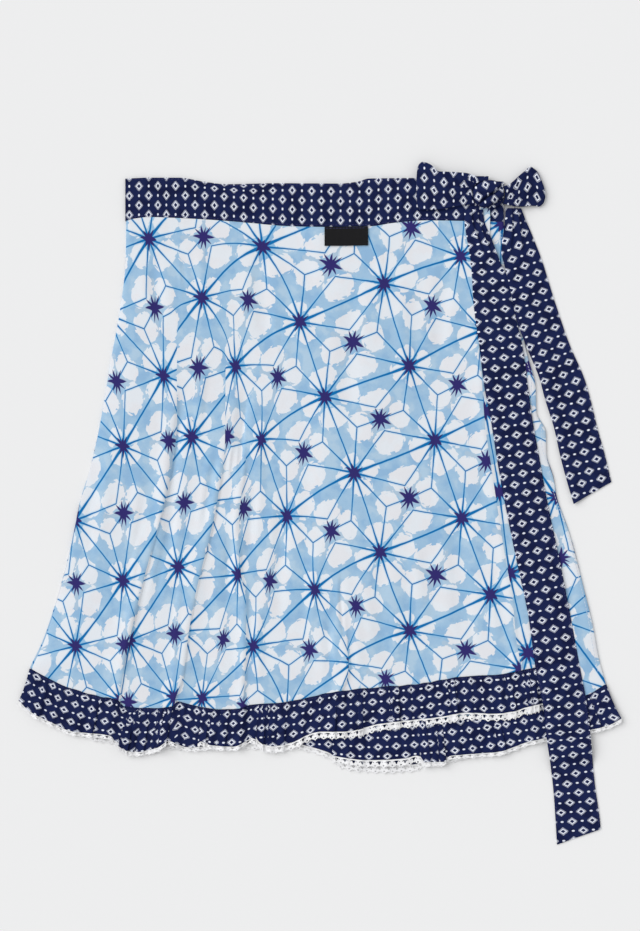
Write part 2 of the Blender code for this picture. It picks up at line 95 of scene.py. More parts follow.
# Long folds of the outer front, on the lines of the walls' folds: the cloth climbs gently from the
# left and drops on the right. A fold grows over its reach, from the upper end of its path down,
# and tuck is the share of the full turn that it makes.
FOLDS = (
    {"height": 2.1, "gentle": 22, "steep": 5, "reach": 160, "tuck": 0.15,
     "path": ((-196, -201.5), (-130, -189), (-73, -175.5), (-27, -163), (24, -150.5),
              (84, -143), (172, -143))},
    {"height": 2.1, "gentle": 22, "steep": 5, "reach": 160, "tuck": 0.15,
     "path": ((-196, -145), (-173, -137.5), (-127, -131), (-90, -124.5), (-25, -108.5),
              (7, -102), (64, -95), (135, -94.5))},
    {"height": 2.0, "gentle": 14, "steep": 5, "reach": 120, "tuck": 0.0,
     "path": ((-202, -77), (-136, -74), (-96, -74), (-71, -79), (-20, -82), (6, -79),
              (49, -74), (110, -72))},
    {"height": 1.8, "gentle": 16, "steep": 4.5, "reach": 60, "tuck": 0.0,
     "path": ((-186, 21), (-173, 27), (-160, 28.5), (-137, 25.5), (-116, 23), (-90, 18.5))},
    {"height": 1.0, "gentle": 14, "steep": 4, "reach": 200, "tuck": 0.0,
     "path": ((-162, 200.5), (-134, 195.5), (-95, 192), (-52, 184.5), (39, 170.5),
              (84, 164), (165, 159.5), (268, 155))},
)
# The turn of a fold: where a column lies while the cloth is flat, where it lies in the full fold,
# and its share of the height. The cloth goes over the edge, back under it and out again.
FOLD_TURN = ((-2.0, -2.0, 1.0), (-1.3, -0.9, 1.0), (-0.6, -0.2, 0.92), (0.1, 0.0, 0.75),
             (0.8, -0.5, 0.45), (1.5, -1.7, 0.12), (2.2, -2.8, 0.0))
# The front's folds turn softer, over a wider strip
FOLD_SPREAD = {"front": 1.7, "ruffle": 1.0}
# Columns on the gentle side of a fold, and between folds, are about this far apart
GENTLE_STEP = 2.2
FRONT_STEP = 3.3
RUFFLE_STEP = 2.2
# The front's second column lies this far from its side
SIDE_COLUMN = 1.0

# Soft creases: x and y of their ends, half width and height, a trough where it is below 0
FRONT_CREASES = (
    (-130, 134, -150, -66, 8, -2.0), (-73, 122, -77, 30, 9, -1.8), (-148, -10, -152, -70, 7, -1.5),
    (-236, 30, -262, -100, 12, 1.5), (-214, 80, -232, -70, 9, -1.4), (-180, -80, -200, -180, 8, 1.3),
    (-176, 40, -190, -60, 9, 1.2), (-166, 250, -158, 180, 9, -1.0), (-120, 262, -112, 190, 10, 1.0),
    (-60, 270, -50, 150, 12, -1.0), (-112, 150, -122, 60, 7, 1.2), (-20, 262, -10, 120, 14, 0.9),
    (40, 250, 30, 60, 14, -0.9), (84, 240, 92, 90, 12, 0.9), (128, 250, 120, 130, 10, -0.9),
    (-52, 110, -60, -20, 8, 1.1), (-30, 30, -40, -130, 10, -1.3), (0, -30, -6, -170, 10, 1.2),
    (62, -40, 66, -160, 12, -1.0), (96, -20, 110, -150, 10, 1.0), (138, 20, 150, -150, 12, -1.1),
    (-108, -60, -114, -196, 7, -1.6), (-60, -90, -58, -190, 7, 1.4), (-86, -20, -92, -120, 7, -1.3),
    (168, -60, 182, -150, 8, 0.9), (10, -100, 12, -186, 6, -1.2), (38, -90, 42, -182, 7, 1.1),
    (-152, -35, -125, 124, 2.6, -1.1), (-84, 62, -88, 18, 2.4, -0.9), (-168, -110, -157, -28, 4.5, -1.4),
    (-71, 112, -79, 12, 2.4, -0.8), (-100, 60, -116, -34, 5.0, -1.3), (-176, -20, -192, -120, 3.0, 0.9),
    (-136, -60, -144, -190, 3.0, 0.9), (-63, 26, -70, -66, 6.0, -1.4), (-214, 20, -232, -90, 3.0, -0.8),
    (-256, -90, -268, -150, 3.0, 0.8), (-40, 200, -34, 130, 3.4, -0.7), (22, -60, 26, -150, 3.0, -0.8),
    (76, -100, 80, -176, 3.0, 0.8), (118, 90, 112, 10, 3.2, -0.7), (150, -70, 158, -164, 3.0, -0.8),
    (-136, 256, -132, 200, 3.2, -0.7), (60, 262, 64, 206, 3.4, 0.7),
)
CREASE_BOW = 0.12
# A trough has raised lips: their share of its depth, how far out they lie and half their width,
# as shares of the trough's half width
LIPS = {"share": 0.35, "out": 1.3, "half": 0.9}
# The outer front stands this high off the layers below, left of this x and below this y, and the
# puff dies out over this width
PUFF = {"height": 1.4, "right": 110.0, "top": 250.0, "over": 60.0}
# How far a crease may press the cloth into the gap above the layer below
PRESS = 0.15
INNER_CREASES = (
    (214, 90, 236, -60, 8, 0.8), (240, -10, 262, -150, 8, -0.8), (196, 200, 202, 110, 7, 0.7),
    (250, -90, 268, -176, 7, 0.9), (150, 240, 160, 40, 12, -0.7), (60, 250, 52, 20, 14, 0.6),
    (100, 60, 120, -160, 12, 0.7), (40, -20, 36, -180, 10, -0.7),
)
BACK_CREASES = (
    (-220, 60, -250, -120, 12, 0.5), (-150, 240, -160, 20, 12, 0.5), (-80, 200, -70, -20, 14, 0.4),
    (-10, 250, 0, 60, 12, 0.5), (70, 200, 84, -40, 14, 0.4), (140, 240, 156, 20, 12, 0.5),
    (220, 20, 250, -150, 12, 0.5), (-60, -60, -64, -190, 10, 0.5), (40, -60, 44, -190, 10, 0.4),
)

# Folds of the ruffles: x at the loose edge, which side lies on top (1 left, -1 right) and how far
# it laps over. Wider gaps between them get small ones.
RUFFLE_FOLDS = {
    "outer": ((-266, 1, 0.0), (-246, -1, 0.3), (-227, 1, 1.3), (-201, -1, 2.4), (-176, 1, 0.4),
              (-153, 1, 2.4), (-122, -1, 2.2), (-95, 1, 0.4), (-64, -1, 2.2), (-36, 1, 0.3),
              (15.5, 1, 0.8), (38, -1, 1.8), (80, 1, 1.8), (108, -1, 0.0), (138, 1, 1.6),
              (166, -1, 0.3), (196, 1, 1.8), (208, -1, 1.4), (219, 1, 1.8)),
    "inner": ((44, 1, 0.0), (100, -1, 2.6), (126, 1, 2.0), (152, -1, 0.3), (186, 1, 1.2),
              (214, -1, 0.4), (240, 1, 1.2), (262, -1, 1.4), (281, 1, 0.8)),
    "back": ((-240, 1, 0.4), (-180, -1, 0.4), (-120, 1, 0.8), (-60, 1, 0.4), (0, -1, 0.4),
             (70, 1, 0.4), (140, -1, 0.8), (200, 1, 0.4), (250, -1, 0.6)),
}
RUFFLE_GENTLE = 9.0
# A fold's share of the crest's height: at no lap, more for each mm of lap, and up to this lap
FOLD_RISE = {"least": 0.55, "more": 0.18, "lap": 2.4}
# Small folds: one for each such gap, how unevenly they lie, and how far they keep from the sides
SMALL_FOLD = {"gap": 22.0, "lap": 0.0, "uneven": 0.18, "clear": 12}
# Small gathers at the seam: their height and pitch, the share of the ruffle's depth at which they
# have faded out, and how far they push its print
GATHER = {"height": 1.3, "pitch": 5.9, "fade": 0.75, "print": 1.1}
# The loose edge's small waves, and the share of their height that small waves and gathers keep
FLOUNCE = 0.8
SMALL_WAVES = 0.6
# The ruffle's cloth lies a little slack: cloth for each mm down and along it
RUFFLE_SLACK = (1.04, 1.03)
RUFFLE_FIRST_ROW = 4.4

PUCKER = 0.45

LACE_WIDTH = 8.4
LACE_PITCH = 8.8
LACE_STEP = 0.7
# The share of the lace's width that isn't turned under: x and share
LACE_SHOWS = {
    "outer": ((-301, 0.55), (-75, 0.55), (-58, 0.9), (236, 0.95)),
    "inner": ((12, 0.9), (100, 1.0), (108, 0.55), (301, 0.5)),
    "back": ((-299, 0.6), (10, 0.8), (22, 1.0), (95, 1.0), (104, 0.5), (298, 0.5)),
}
SCALLOP_DEPTH = 2.2
FRILL_DEPTH = 0.35
LACE_RIPPLE = 0.25
LACE_LIFT = 0.1
# The grid that the lace is cut from goes this far past its edge
LACE_SPARE = 0.4
# Its holes: how far below its upper edge they lie, and their sizes
TRIANGLE = {"top": 1.3, "bottom": 4.9, "tip": 5.2, "spread": 0.6}
ROUND_HOLE = {"below": 5.9, "radius": 0.9, "squash": 1.1}
SMALL_HOLE = {"below": 2.4, "off": 1.5, "radius": 0.6}

# The tails of the bow: y, left edge and right edge, from the end up
LONG_TAIL = ((-341, 237, 281), (-324, 236, 280.4), (-282, 233, 275), (-233, 226, 270),
             (-198, 222, 266), (-166, 215.5, 260), (-112, 208, 250), (-53, 195.5, 238.5),
             (4, 184, 226.5), (40, 177.5, 220), (84, 170.5, 212), (117, 164, 207.5),
             (158, 159, 202), (186, 155, 195.2), (206, 152.8, 191.4), (227, 151.8, 186.6),
             (240, 150.6, 180.4), (254, 148.6, 175.2), (269, 146, 169.4), (282, 144.4, 164),
             (300, 144, 162))
LONG_TAIL_END = (-340.5, -325)
LONG_TAIL_TOP = 294
SHORT_TAIL = ((0, 253.4, 297), (25, 246, 290.5), (48, 240, 285), (77, 233.5, 277),
              (104, 225, 270.5), (126, 219, 264), (158, 205.8, 250), (186, 195.6, 240),
              (206, 191.8, 233.5), (227, 187, 227), (240, 183.6, 223), (252, 181, 218.7),
              (260, 181.5, 215.5), (271, 183.2, 211), (281, 184.5, 206.5), (296, 185.5, 200.5))
SHORT_TAIL_END = (0, 22)
SHORT_TAIL_TOP = 295.3
TAIL_PLEAT_REACH = 62
TAIL_RIPPLE = 0.3
# How far a tail's edges roll down
TAIL_EDGE = 0.5
# Pleats by the knot: their share of the width far from it and at it, and the cloth they hide,
# along the tie and across it
LONG_TAIL_PLEATS = ((0.55, 0.35, 3.0, 3.5), (0.8, 0.7, -3.0, 4.0))
SHORT_TAIL_PLEATS = ((0.2, 0.35, 2.5, -4.0), (0.5, 0.7, -2.0, 3.0))
LOOP_PLEATS = ((0.15, 0.3, 3.0, 3.0), (0.5, 0.55, -4.0, 3.5), (0.85, 0.75, 3.0, 3.0))
PLEAT = {"height": 1.9, "gentle": 7.0, "steep": 1.6}
TIE_WIDTH = 43.0
LEFT_LOOP = ((94, 296, 337), (98, 294.5, 339.5), (103, 293.5, 341), (110, 293.5, 338.5),
             (119, 294, 331.5), (133, 296.5, 331), (146, 298.5, 330), (156, 299, 327))
RIGHT_LOOP = ((178, 301, 315), (190, 298, 320), (198, 297, 327), (204, 297, 332),
              (210, 298, 336.5), (214, 298, 336.5), (219, 297, 332), (223, 299, 326),
              (226, 303, 315))
LOOP_PINCH = 0.6
LOOP_PUFF = 2.6
LOOP_SWELL = 1.6
LOOP_RUN = 0.42
# The loops' outer ends: a share of their height there, and x
LEFT_NOSE = ((0, 99.5), (0.1, 97.3), (0.5, 96.2), (0.85, 97.0), (0.95, 98.5), (1, 101.5))
RIGHT_NOSE = ((0, 219), (0.12, 223.6), (0.35, 225), (0.6, 223.6), (0.85, 218.5), (1, 211.5))
KNOT_CENTRE = (168, 309)
KNOT_HALF = (15.5, 14)
KNOT_SQUARE = 2.4
KNOT_CLEAR = 0.85
KNOT_HEIGHT = 11.0
KNOT_LOW = 0.32
# Its wraps run up to the right. The furrows between them lie this far from its middle.
KNOT_SLANT = 42
KNOT_FURROWS = (-11.5, -2.0, 14.5)
KNOT_FURROW = {"half": 2.3, "share": 0.5}
KNOT_BEND = 1.2
KNOT_CRUMPLE = 0.05
# How the print lies on it: its turn, its start, and its jump from wrap to wrap
KNOT_PRINT = {"turn": 14, "start": (10.1, 4.3), "jump": (5.3, 3.1)}
# The front's corner below the knot, drawn up over the band's end: where that starts, over what
# width and how high, and how far its edge leans out, from which y up and over what length
CORNER = {"left": 156.5, "slant": 4.0, "height": 19.0, "lean": 2.6, "from": 250.0, "over": 25.0}
LABEL = {"left": 4.5, "right": 48.0, "drop": 19.0}

# A stitch: how long and high it is, half its width, the gap to the next, and its place from an
# edge. Its seam is a line of this many points.
STITCH = {"length": 2.4, "gap": 0.9, "half": 0.26, "high": 0.16, "lift": 0.1, "inset": 1.5}
SEAM_POINTS = 200
# Stitches are dropped on the cloth from here, in metres
DROP_FROM = 0.1
# Edges that turn by more than this many degrees are sharp
SHARP_FROM = 70

# What crosses an edge stays up for EDGE_STAY past it, then falls to the table over EDGE_FALL
EDGE_STAY = 9.0
EDGE_FALL = 24.0
# The outer front comes down over the inner one's free edge over this width
INNER_EDGE_FALL = 22.0
# A tie rests on a fold this far to each side of it
FOLD_REST = 3.0
# A side or a free edge rolls down this far, over this width
ROLL_DROP = 0.7
ROLL = 2.4
# Creases and puffs die out over a twelfth of a panel's length at its seams
SEAM_FADE = 12
RUMPLE = 0.22
HIDDEN_RUMPLE = 0.15
# The share of its creases that shows in cloth which lies on the table
TABLE_RELIEF = 0.6
# How much the doubled band swells and ripples
BAND_BELLY = 0.25
BAND_RIPPLE = 0.18

# How finely each cloth is made
FRONT_ROWS = 160
BAND_ROWS = 15
RUFFLE_ROWS = 22
LACE_ROWS = 14
LOOP_ROWS = 110
STRIP_COLUMNS = 41
TAIL_STEP = 1.9
KNOT_SEGMENTS = (120, 80)
LABEL_GRID = (14, 30)

# ---------------------------------------------------------------- the prints

# Where stars of the print lie: steps along its two directions, then x and y. A fold cuts the
# print, so each stretch between the folds has stars of its own, below the ones that they share.
UPPER_STARS = ((-1, -2, -171, 265), (-0.5, -1.5, -116.4, 267), (-1, -1, -118, 206))
STARS = (
    UPPER_STARS + (
        (-1.5, -1.5, -165, 196), (-2, -1, -156.2, 128.2), (-2.5, -0.5, -151, 63), (-3, 0, -146.5, -3),
        (-3, -1, -196.6, 58), (-3.5, -0.5, -196, -9), (-4, -1, -244.8, -16.3), (-4, 0, -196.7, -76.5),
        (-4.5, -0.5, -243.6, -79), (-4.5, 0.5, -195, -140), (-5, 0, -244, -141.7),
        (-5, 1, -199.5, -196)),
    UPPER_STARS + (
        (-1.5, -0.5, -121.3, 136), (-2, 0, -128, 67), (-2.5, 0.5, -135.4, 1.5), (-3, 1, -141.6, -62.8),
        (-3.5, 1.5, -145, -129.5), (-4, 1, -190, -136), (-4, 2, -146, -192.7),
        (-4.5, 1.5, -191.5, -198)),
    UPPER_STARS + (
        (-0.5, -0.5, -72, 204), (0, -1, -57.6, 257), (0, 0, -20, 182), (-1, 0, -84.3, 137.6),
        (-0.5, 0.5, -42.3, 127), (-1.5, 0.5, -92.3, 68), (-1, 1, -58.4, 64.4), (0, 1, 5, 107),
        (-1.5, 1.5, -74.6, -4), (-1, 2, -33, -12), (0, 2, 34, 31), (-2, 2, -83.5, -70.5),
        (-2.5, 1.5, -128, -63), (-1, 3, -5.2, -85.5), (0, 3, 60, -48), (-1.5, 2.5, -50.2, -76.4),
        (-2.5, 2.5, -96.6, -135), (-2, 3, -65.5, -141.7), (-3, 3, -117.6, -193.8),
        (-1.5, 3.5, -10, -145.3), (-0.5, 3.5, 35.9, -101.5), (0, 4, 89.5, -126.3),
        (-0.5, 4.5, 65.4, -174.8), (0.5, -0.5, 11, 239), (0.5, 0.5, 33, 162), (0.5, 1.5, 60, 85),
        (0.5, 2.5, 89, 6), (0.5, 3.5, 115.7, -70.8), (0.5, 4.5, 145.6, -145.8), (1, 0, 64, 220),
        (1, 1, 89, 138), (1, 2, 114.8, 63.8), (1, 3, 141.6, -13.9), (1, 4, 170.2, -90.5),
        (1, 5, 199.5, -165), (1.5, -0.5, 91, 276), (1.5, 0.5, 112, 198), (1.5, 1.5, 137, 119),
        (2, 0, 140.3, 247.4)),
    ((2, 2, 164.8, 92.4), (2, 3, 179, 12), (2, 4, 189.4, -69), (2, 5, 207.7, -148.5),
     (3, 3, 265.3, 31.1)),
)
INNER_STARS = ((0, 0, 239.3, -115.8), (-0.5, -0.5, 240.7, -54.3), (-1, -1, 236.6, 7.3),
               (1, 0, 291, -186), (0, 1, 186, -177),
               (-4, -2, 182, 280.5), (-3.5, -2.5, 243, 250))
BACK_STARS = ((0, 0, -20, 182), (1, 0, 64, 220), (0, 1, 8, 106), (1, 1, 92, 144))
# The folds that cut the print. Above a fold's upper end the stretches beside it run into each
# other, over a wider and wider strip.
CUTTING_FOLDS = (0, 1, 4)
CUT_BLEND = 0.35
# A small tuck that the stars don't follow: its fold, half of what it hides, and how far it pulls
SMALL_CUTS = ((2, 1.6, 30.0), (3, 4.6, 34.0))

# The print repeats after this far in its two directions. Three of its lines meet below a large
# star and beside it, this far from it.
PERIOD = (88.4, 81.1)
JOIN_BELOW = (44.2, 28.05)
JOIN_SIDE = (19.7, 40.55)

# White patches round each kind of star, at full size: their middle and half size along the
# print's two directions, the second downwards
SMALL_STAR_PATCHES = ((1.6, -19.5, 15.5, 10.5), (0.3, 24.0, 15.5, 12.0), (-22.0, 0.8, 12.0, 14.3),
                      (19.5, 2.5, 10.5, 14.0))
STAR_PATCHES = ((0.5, -12.5, 10.0, 6.5), (3.0, 15.5, 10.5, 8.0), (-12.0, 2.0, 7.5, 9.0),
                (17.0, 2.0, 8.5, 9.5))
WIDE_STAR_PATCHES = ((3.5, -18.5, 15.0, 10.2), (1.5, 22.5, 16.0, 10.8), (-18.5, 1.5, 10.6, 12.0),
                     (24.0, 3.0, 12.2, 13.2))
PATCH_SQUARE = 2.5
# The gaps of a star lie this far round from the print's first direction, in radians
STAR_TURN = 0.42
STAR_BEND = 0.012
# The dark middle of each kind of star, its arms, their reach and width at the root, and how far
# the middle's corners come out
LARGE_STAR = {"middle": 4.0, "arms": 8, "reach": 9.8, "root": 2.2, "corners": 0.2}
SMALL_STAR = {"middle": 3.6, "arms": 10, "reach": 12.0, "root": 1.85, "corners": 0.9}

DIAMOND_PITCH = (9.71, 9.75)
DIAMOND_HALF = (4.15, 5.4)
DOT_HALF = (0.95, 1.5)
BAND_FIRST_COLUMN = -190.5
# The lowest row of whole diamonds along the band, and how far the print is pushed along it: x
# and y, and x and shift
BAND_ROW = ((-195, 288.6), (-150, 289.2), (-114, 289.0), (-76, 286.9), (-38, 285.2), (0, 283.6),
            (39, 283.0), (58, 285.0), (78, 286.4), (98, 288.2), (168, 290))
BAND_PUSH = ((-195, 0.0), (-168, 0.0), (-148, 2.3), (0, 2.3), (62, 3.6), (168, 3.8))
BAND_SLACK = 1.02
# The band's upper edge rolls away round here, so its rows lie closer together
BAND_ROLL = {"x": -85.0, "half": 60.0, "from": 19.0, "share": 0.045}
# The ties' print: its cloth for each mm across and along, and how far it is pulled: y, across
# and along
TIE_SLACK = {"tie_long": (0.965, 1.003), "tie_short": (0.965, 0.957)}
TIE_PULL = {
    "tie_long": ((-328, 5.5, -11.1), (-309, 4.5, -10.7), (-290, 3.4, -10.2), (-271, 2.6, -10.1),
                 (-253, 2.3, -10.3), (-237, 2.5, -7.5), (-221, 2.2, -2.8), (-205, 3.7, -1.7),
                 (-187, 4.8, -0.7), (-167, 4.5, -0.2), (-147, 3.0, -0.7), (-128, 2.0, -1.5),
                 (-100, 1.1, -2.4), (-60, 1.1, -3.4), (-20, 1.6, -4.3), (20, 1.7, -4.8),
                 (60, 1.6, -5.0), (100, 1.7, -5.5), (140, 1.7, -5.9), (180, -0.3, -5.7),
                 (220, -1.3, -5.6), (262, -1.3, -5.6)),
    "tie_short": ((5, 1.8, -6.7), (35, 1.7, -6.3), (65, 1.6, -5.7), (95, 1.2, -5.2),
                  (125, 1.5, -4.7), (155, 1.8, -2.3), (185, 2.5, -1.3), (215, 2.1, 0.5),
                  (245, 2.1, 1.6)),
}

COLOURS = {
    "ground": (160, 194, 222), "ground_deep": (140, 180, 216), "ground_pale": (180, 206, 226),
    "white": (228, 233, 239), "white_warm": (229, 229, 233), "brushed": (176, 198, 217),
    "line": (0, 110, 176), "halo": (128, 200, 236), "purple": (48, 42, 108),
    "navy": (24, 34, 76), "navy_deep": (14, 21, 57), "navy_white": (232, 236, 248),
    "lace": (245, 245, 246), "label": (14, 14, 16), "thread": (66, 66, 112),
    "pale_thread": (222, 226, 236), "floor": (240, 240, 240),
}

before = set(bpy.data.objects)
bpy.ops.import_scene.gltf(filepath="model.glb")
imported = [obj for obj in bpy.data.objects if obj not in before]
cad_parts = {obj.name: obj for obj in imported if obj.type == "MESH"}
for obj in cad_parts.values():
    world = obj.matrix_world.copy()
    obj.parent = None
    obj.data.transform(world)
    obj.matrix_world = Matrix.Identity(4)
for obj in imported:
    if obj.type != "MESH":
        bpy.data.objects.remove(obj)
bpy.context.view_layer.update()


# ---------------------------------------------------------------- lines and heights

def smooth(t):
    """0 below 0, 1 above 1, and an even S between."""
    t = np.clip(t, 0.0, 1.0)
    return t * t * (3 - 2 * t)


def mix(a, b, t):
    return a + (b - a) * t


def line_through(rows, column=1):
    """A smooth line through the rows, first column to the given one, that never swings past them."""
    along = np.array([row[0] for row in rows], float)
    value = np.array([row[column] for row in rows], float)
    rise = np.diff(value) / np.diff(along)
    slope = np.concatenate(([rise[0]], np.zeros(len(rows) - 2), [rise[-1]]))
    product = rise[:-1] * rise[1:]
    total = np.where(product > 0, rise[:-1] + rise[1:], 1.0)
    slope[1:-1] = np.where(product > 0, 2 * product / total, 0.0)

    def value_at(where):
        where = np.clip(where, along[0], along[-1])
        i = np.clip(np.searchsorted(along, where, side="right") - 1, 0, len(rows) - 2)
        run = along[i + 1] - along[i]
        t = (where - along[i]) / run
        bend = t * t * (3 - 2 * t)
        return (mix(value[i], value[i + 1], bend)
                + run * t * (1 - t) * ((1 - t) * slope[i] - t * slope[i + 1]))

    return value_at


band_top = line_through(BAND_TOP)
band_bottom = line_through(BAND_BOTTOM)
left_side = line_through(LEFT_SIDE)
right_side = line_through(RIGHT_SIDE)
outer_edge = line_through(OUTER_EDGE)
inner_edge = line_through(INNER_EDGE)
band_row = line_through(BAND_ROW)
band_push = line_through(BAND_PUSH)
hem = {kind: line_through(rows) for kind, rows in HEM.items()}
ruffle_edge = {kind: line_through(rows) for kind, rows in RUFFLE_EDGE.items()}
fold_lines = [line_through(fold["path"]) for fold in FOLDS]


def length_along(steps):
    """How far along a line each of its points lies, from the lengths of its steps."""
    return np.concatenate(([0.0], np.cumsum(steps)))


def turned(x, y, degrees):
    """A place's two coordinates along axes that are turned anticlockwise by this much."""
    cos, sin = math.cos(math.radians(degrees)), math.sin(math.radians(degrees))
    return x * cos + y * sin, y * cos - x * sin


def crest(x, y, kind):
    """The height of a ruffle's crests, on which the next layer lies."""
    return CREST[kind] * smooth((hem[kind](x) - y) / RUFFLE_DEPTH)


def fold_growth(fold, y):
    return smooth((fold["path"][-1][0] - y) / fold["reach"])


def fold_relief(x, y):
    """The height of the outer front's long folds."""
    height = np.zeros(np.broadcast(x, y).shape)
    for fold, line in zip(FOLDS, fold_lines):
        away = x - line(y)
        width = np.where(away > 0, fold["steep"], fold["gentle"])
        height = height + fold["height"] * fold_growth(fold, y) * smooth(1 - abs(away) / width)
    return height


def over_inner(x, y):
    """1 over the inner front, falling to 0 left of its free edge."""
    return smooth(1 + (x - inner_edge(y) + 2) / INNER_EDGE_FALL)


def table_floor(x, y):
    return np.zeros(np.broadcast(x, y).shape)


def inner_floor(x, y):
    return WALL + crest(x, y, "back") + LAYER_GAP


def outer_floor(x, y):
    under = WALL + crest(x, y, "inner") + LAYER_GAP
    return inner_floor(x, y) + over_inner(x, y) * under


def folded_floor(x, y):
    return outer_floor(x, y) + fold_relief(x, y)


def fall(past):
    """1 up to an edge and a little past it, then down to 0."""
    return 1 - smooth((past - EDGE_STAY) / EDGE_FALL)


def cover(x, y, right, low):
    """1 over a layer with this right edge and this lower edge, falling to 0 outside them."""
    return fall(x - right(y)) * fall(low(x) - LACE_WIDTH - y) * fall(y - band_top(x))


def laid_height(x, y):
    """The top of the skirt where the bow and its tails lie, down to the table beside it."""
    on_inner = cover(x, y, right_side, ruffle_edge["inner"])
    on_outer = cover(x, y, outer_edge, ruffle_edge["outer"])
    inner_top = inner_floor(x, y) + crest(x, y, "inner") + WALL
    fold = np.maximum.reduce([fold_relief(x + reach, y) for reach in (-FOLD_REST, 0, FOLD_REST)])
    outer_top = outer_floor(x, y) + fold + crest(x, y, "outer") + WALL
    return on_inner * (inner_top + LAYER_GAP) + on_outer * (outer_top - inner_top)


def creased(x, y, creases):
    """The height that soft creases add, fading out towards their ends."""
    height = np.zeros(np.broadcast(x, y).shape)
    for x_start, y_start, x_end, y_end, half, rise in creases:
        run = np.hypot(x_end - x_start, y_end - y_start)
        along = ((x - x_start) * (x_end - x_start) + (y - y_start) * (y_end - y_start)) / run ** 2
        away = ((x - x_start) * (y_end - y_start) - (y - y_start) * (x_end - x_start)) / run
        bow = CREASE_BOW * run * along * (1 - along)
        fade = smooth(along * 3) * smooth((1 - along) * 3)
        reach = abs(away - bow) / half
        form = smooth(1 - reach)
        if rise < 0:
            form = form - LIPS["share"] * smooth(1 - abs(reach - LIPS["out"]) / LIPS["half"])
        height = height + rise * fade * form
    return height


def rumple(x, y, size=RUMPLE):
    """The faint unevenness of cloth that lies free."""
    return size * (np.sin(x / 17 + 1.3 * np.sin(y / 41)) * np.sin(y / 29 + 0.7 * np.sin(x / 23))
                   + 0.5 * np.sin(x / 7.3 + y / 19) * np.sin(y / 11.7 - x / 31))


# ---------------------------------------------------------------- meshes

def grid_faces(rows, columns):
    """The corners of each face of a grid of points, anticlockwise seen from above."""
    first = np.arange((rows - 1) * columns).reshape(rows - 1, columns)[:, :-1]
    return np.stack([first, first + 1, first + columns + 1, first + columns], -1)


# Each piece of cloth, by the node that it takes the place of
PIECES = {}


def shares_up(count):
    """Even shares from 0 to 1, one for each row of a grid."""
    return np.linspace(0, 1, count)[:, None]


def shares_along(count):
    """Even shares from 0 to 1, one for each column of a grid."""
    return np.linspace(0, 1, count)[None, :]


def placed(name, data):
    """A new object in the scene."""
    item = bpy.data.objects.new(name, data)
    bpy.context.scene.collection.objects.link(item)
    return item


def stacked(x, y, z):
    return np.stack(np.broadcast_arrays(x, y, z), -1).astype(float)


def cloth(name, points, maps, slot, thickness=COTTON, keep=None):
    """A thin closed shell of cloth round a grid of points, rows by columns by three, in mm.

    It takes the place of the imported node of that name. maps holds UV maps, with a value for each
    point, or for each face and corner. keep marks the faces that stay.
    """
    rows, columns = points.shape[:2]
    faces = grid_faces(rows, columns)
    keep = np.ones(faces.shape[:2], bool) if keep is None else keep
    mesh = bpy.data.meshes.new(name)
    mesh.from_pydata((points.reshape(-1, 3) * MM).tolist(), [], faces[keep].tolist())
    for map_name, values in maps.items():
        if values.shape[:2] == (rows, columns):
            values = values.reshape(-1, 2)[faces]
        layer = mesh.uv_layers.new(name=map_name)
        layer.data.foreach_set("uv", values[keep].astype(np.float32).ravel())
    sheet = bmesh.new()
    sheet.from_mesh(mesh)
    bmesh.ops.delete(sheet, geom=[v for v in sheet.verts if not v.link_faces], context="VERTS")
    sheet.to_mesh(mesh)
    sheet.free()
    piece = placed(name + "_cloth", mesh)
    shell = piece.modifiers.new("Shell", "SOLIDIFY")
    shell.thickness = thickness * MM
    shell.offset = 0
    bpy.context.view_layer.update()
    solid = bpy.data.meshes.new_from_object(piece.evaluated_get(bpy.context.evaluated_depsgraph_get()))
    piece.modifiers.clear()
    piece.data = solid
    solid.shade_smooth()
    solid.set_sharp_from_angle(angle=math.radians(SHARP_FROM))
    solid.materials.clear()
    solid.materials.append(CLOTHS[slot])
    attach(piece, "root")
    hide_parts(name)
    PIECES[name] = piece
    return piece


def fold_section(gentle, side, spread):
    """The columns of one fold: their offset while flat, in the full fold, and share of height."""
    turn = [(flat * spread, full * spread, share) for flat, full, share in FOLD_TURN]
    steps = max(2, round((gentle + turn[0][0]) / GENTLE_STEP))
    rise = [mix(-gentle, turn[0][0], k / steps) for k in range(steps)]
    rows = [(offset, offset, float(smooth(1 + offset / gentle))) for offset in rise] + turn
    if side < 0:
        rows = [(-flat, -full, share) for flat, full, share in reversed(rows)]
    return np.array(rows)


def folded_columns(ends, folds, step, spread):
    """The columns of a sheet with turned folds.

    ends holds the x of both sides, at each level, and folds a row for each fold: the x of its
    edge at each level, its growth there, its height, its tuck, its gentle width and its side.
    Columns between folds are about a step apart, and spread widens the turns. Returns x and
    height for each level and column, and the stretch that each column of faces lies in.
    """
    left, right = ends
    x = [left]
    height = [np.zeros_like(left)]
    stretch = []
    for number, (edge, growth, rise, tuck, gentle, side) in enumerate(folds):
        section = fold_section(gentle, side, spread)
        start = edge + section[0, 0]
        parts = max(1, round(float(np.mean(start - x[-1])) / step))
        last = x[-1]
        for k in range(1, parts):
            x.append(mix(last, start, k / parts))
            height.append(np.zeros_like(left))
            stretch.append(number)
        for flat, full, share in section:
            if abs(flat) <= FOLD_TURN[-1][0] * spread:
                x.append(edge + mix(flat, full * max(tuck, 1.0), growth * tuck))
            else:
                x.append(edge + flat)
            height.append(rise * growth * share)
            stretch.append(number + (flat > 0.5 * spread))
    parts = max(1, round(float(np.mean(right - x[-1])) / step))
    last = x[-1]
    for k in range(1, parts + 1):
        x.append(mix(last, right, k / parts))
        height.append(np.zeros_like(left))
        stretch.append(len(folds))
    return np.stack(x, -1), np.stack(height, -1), np.array(stretch)


# ---------------------------------------------------------------- where the print lies

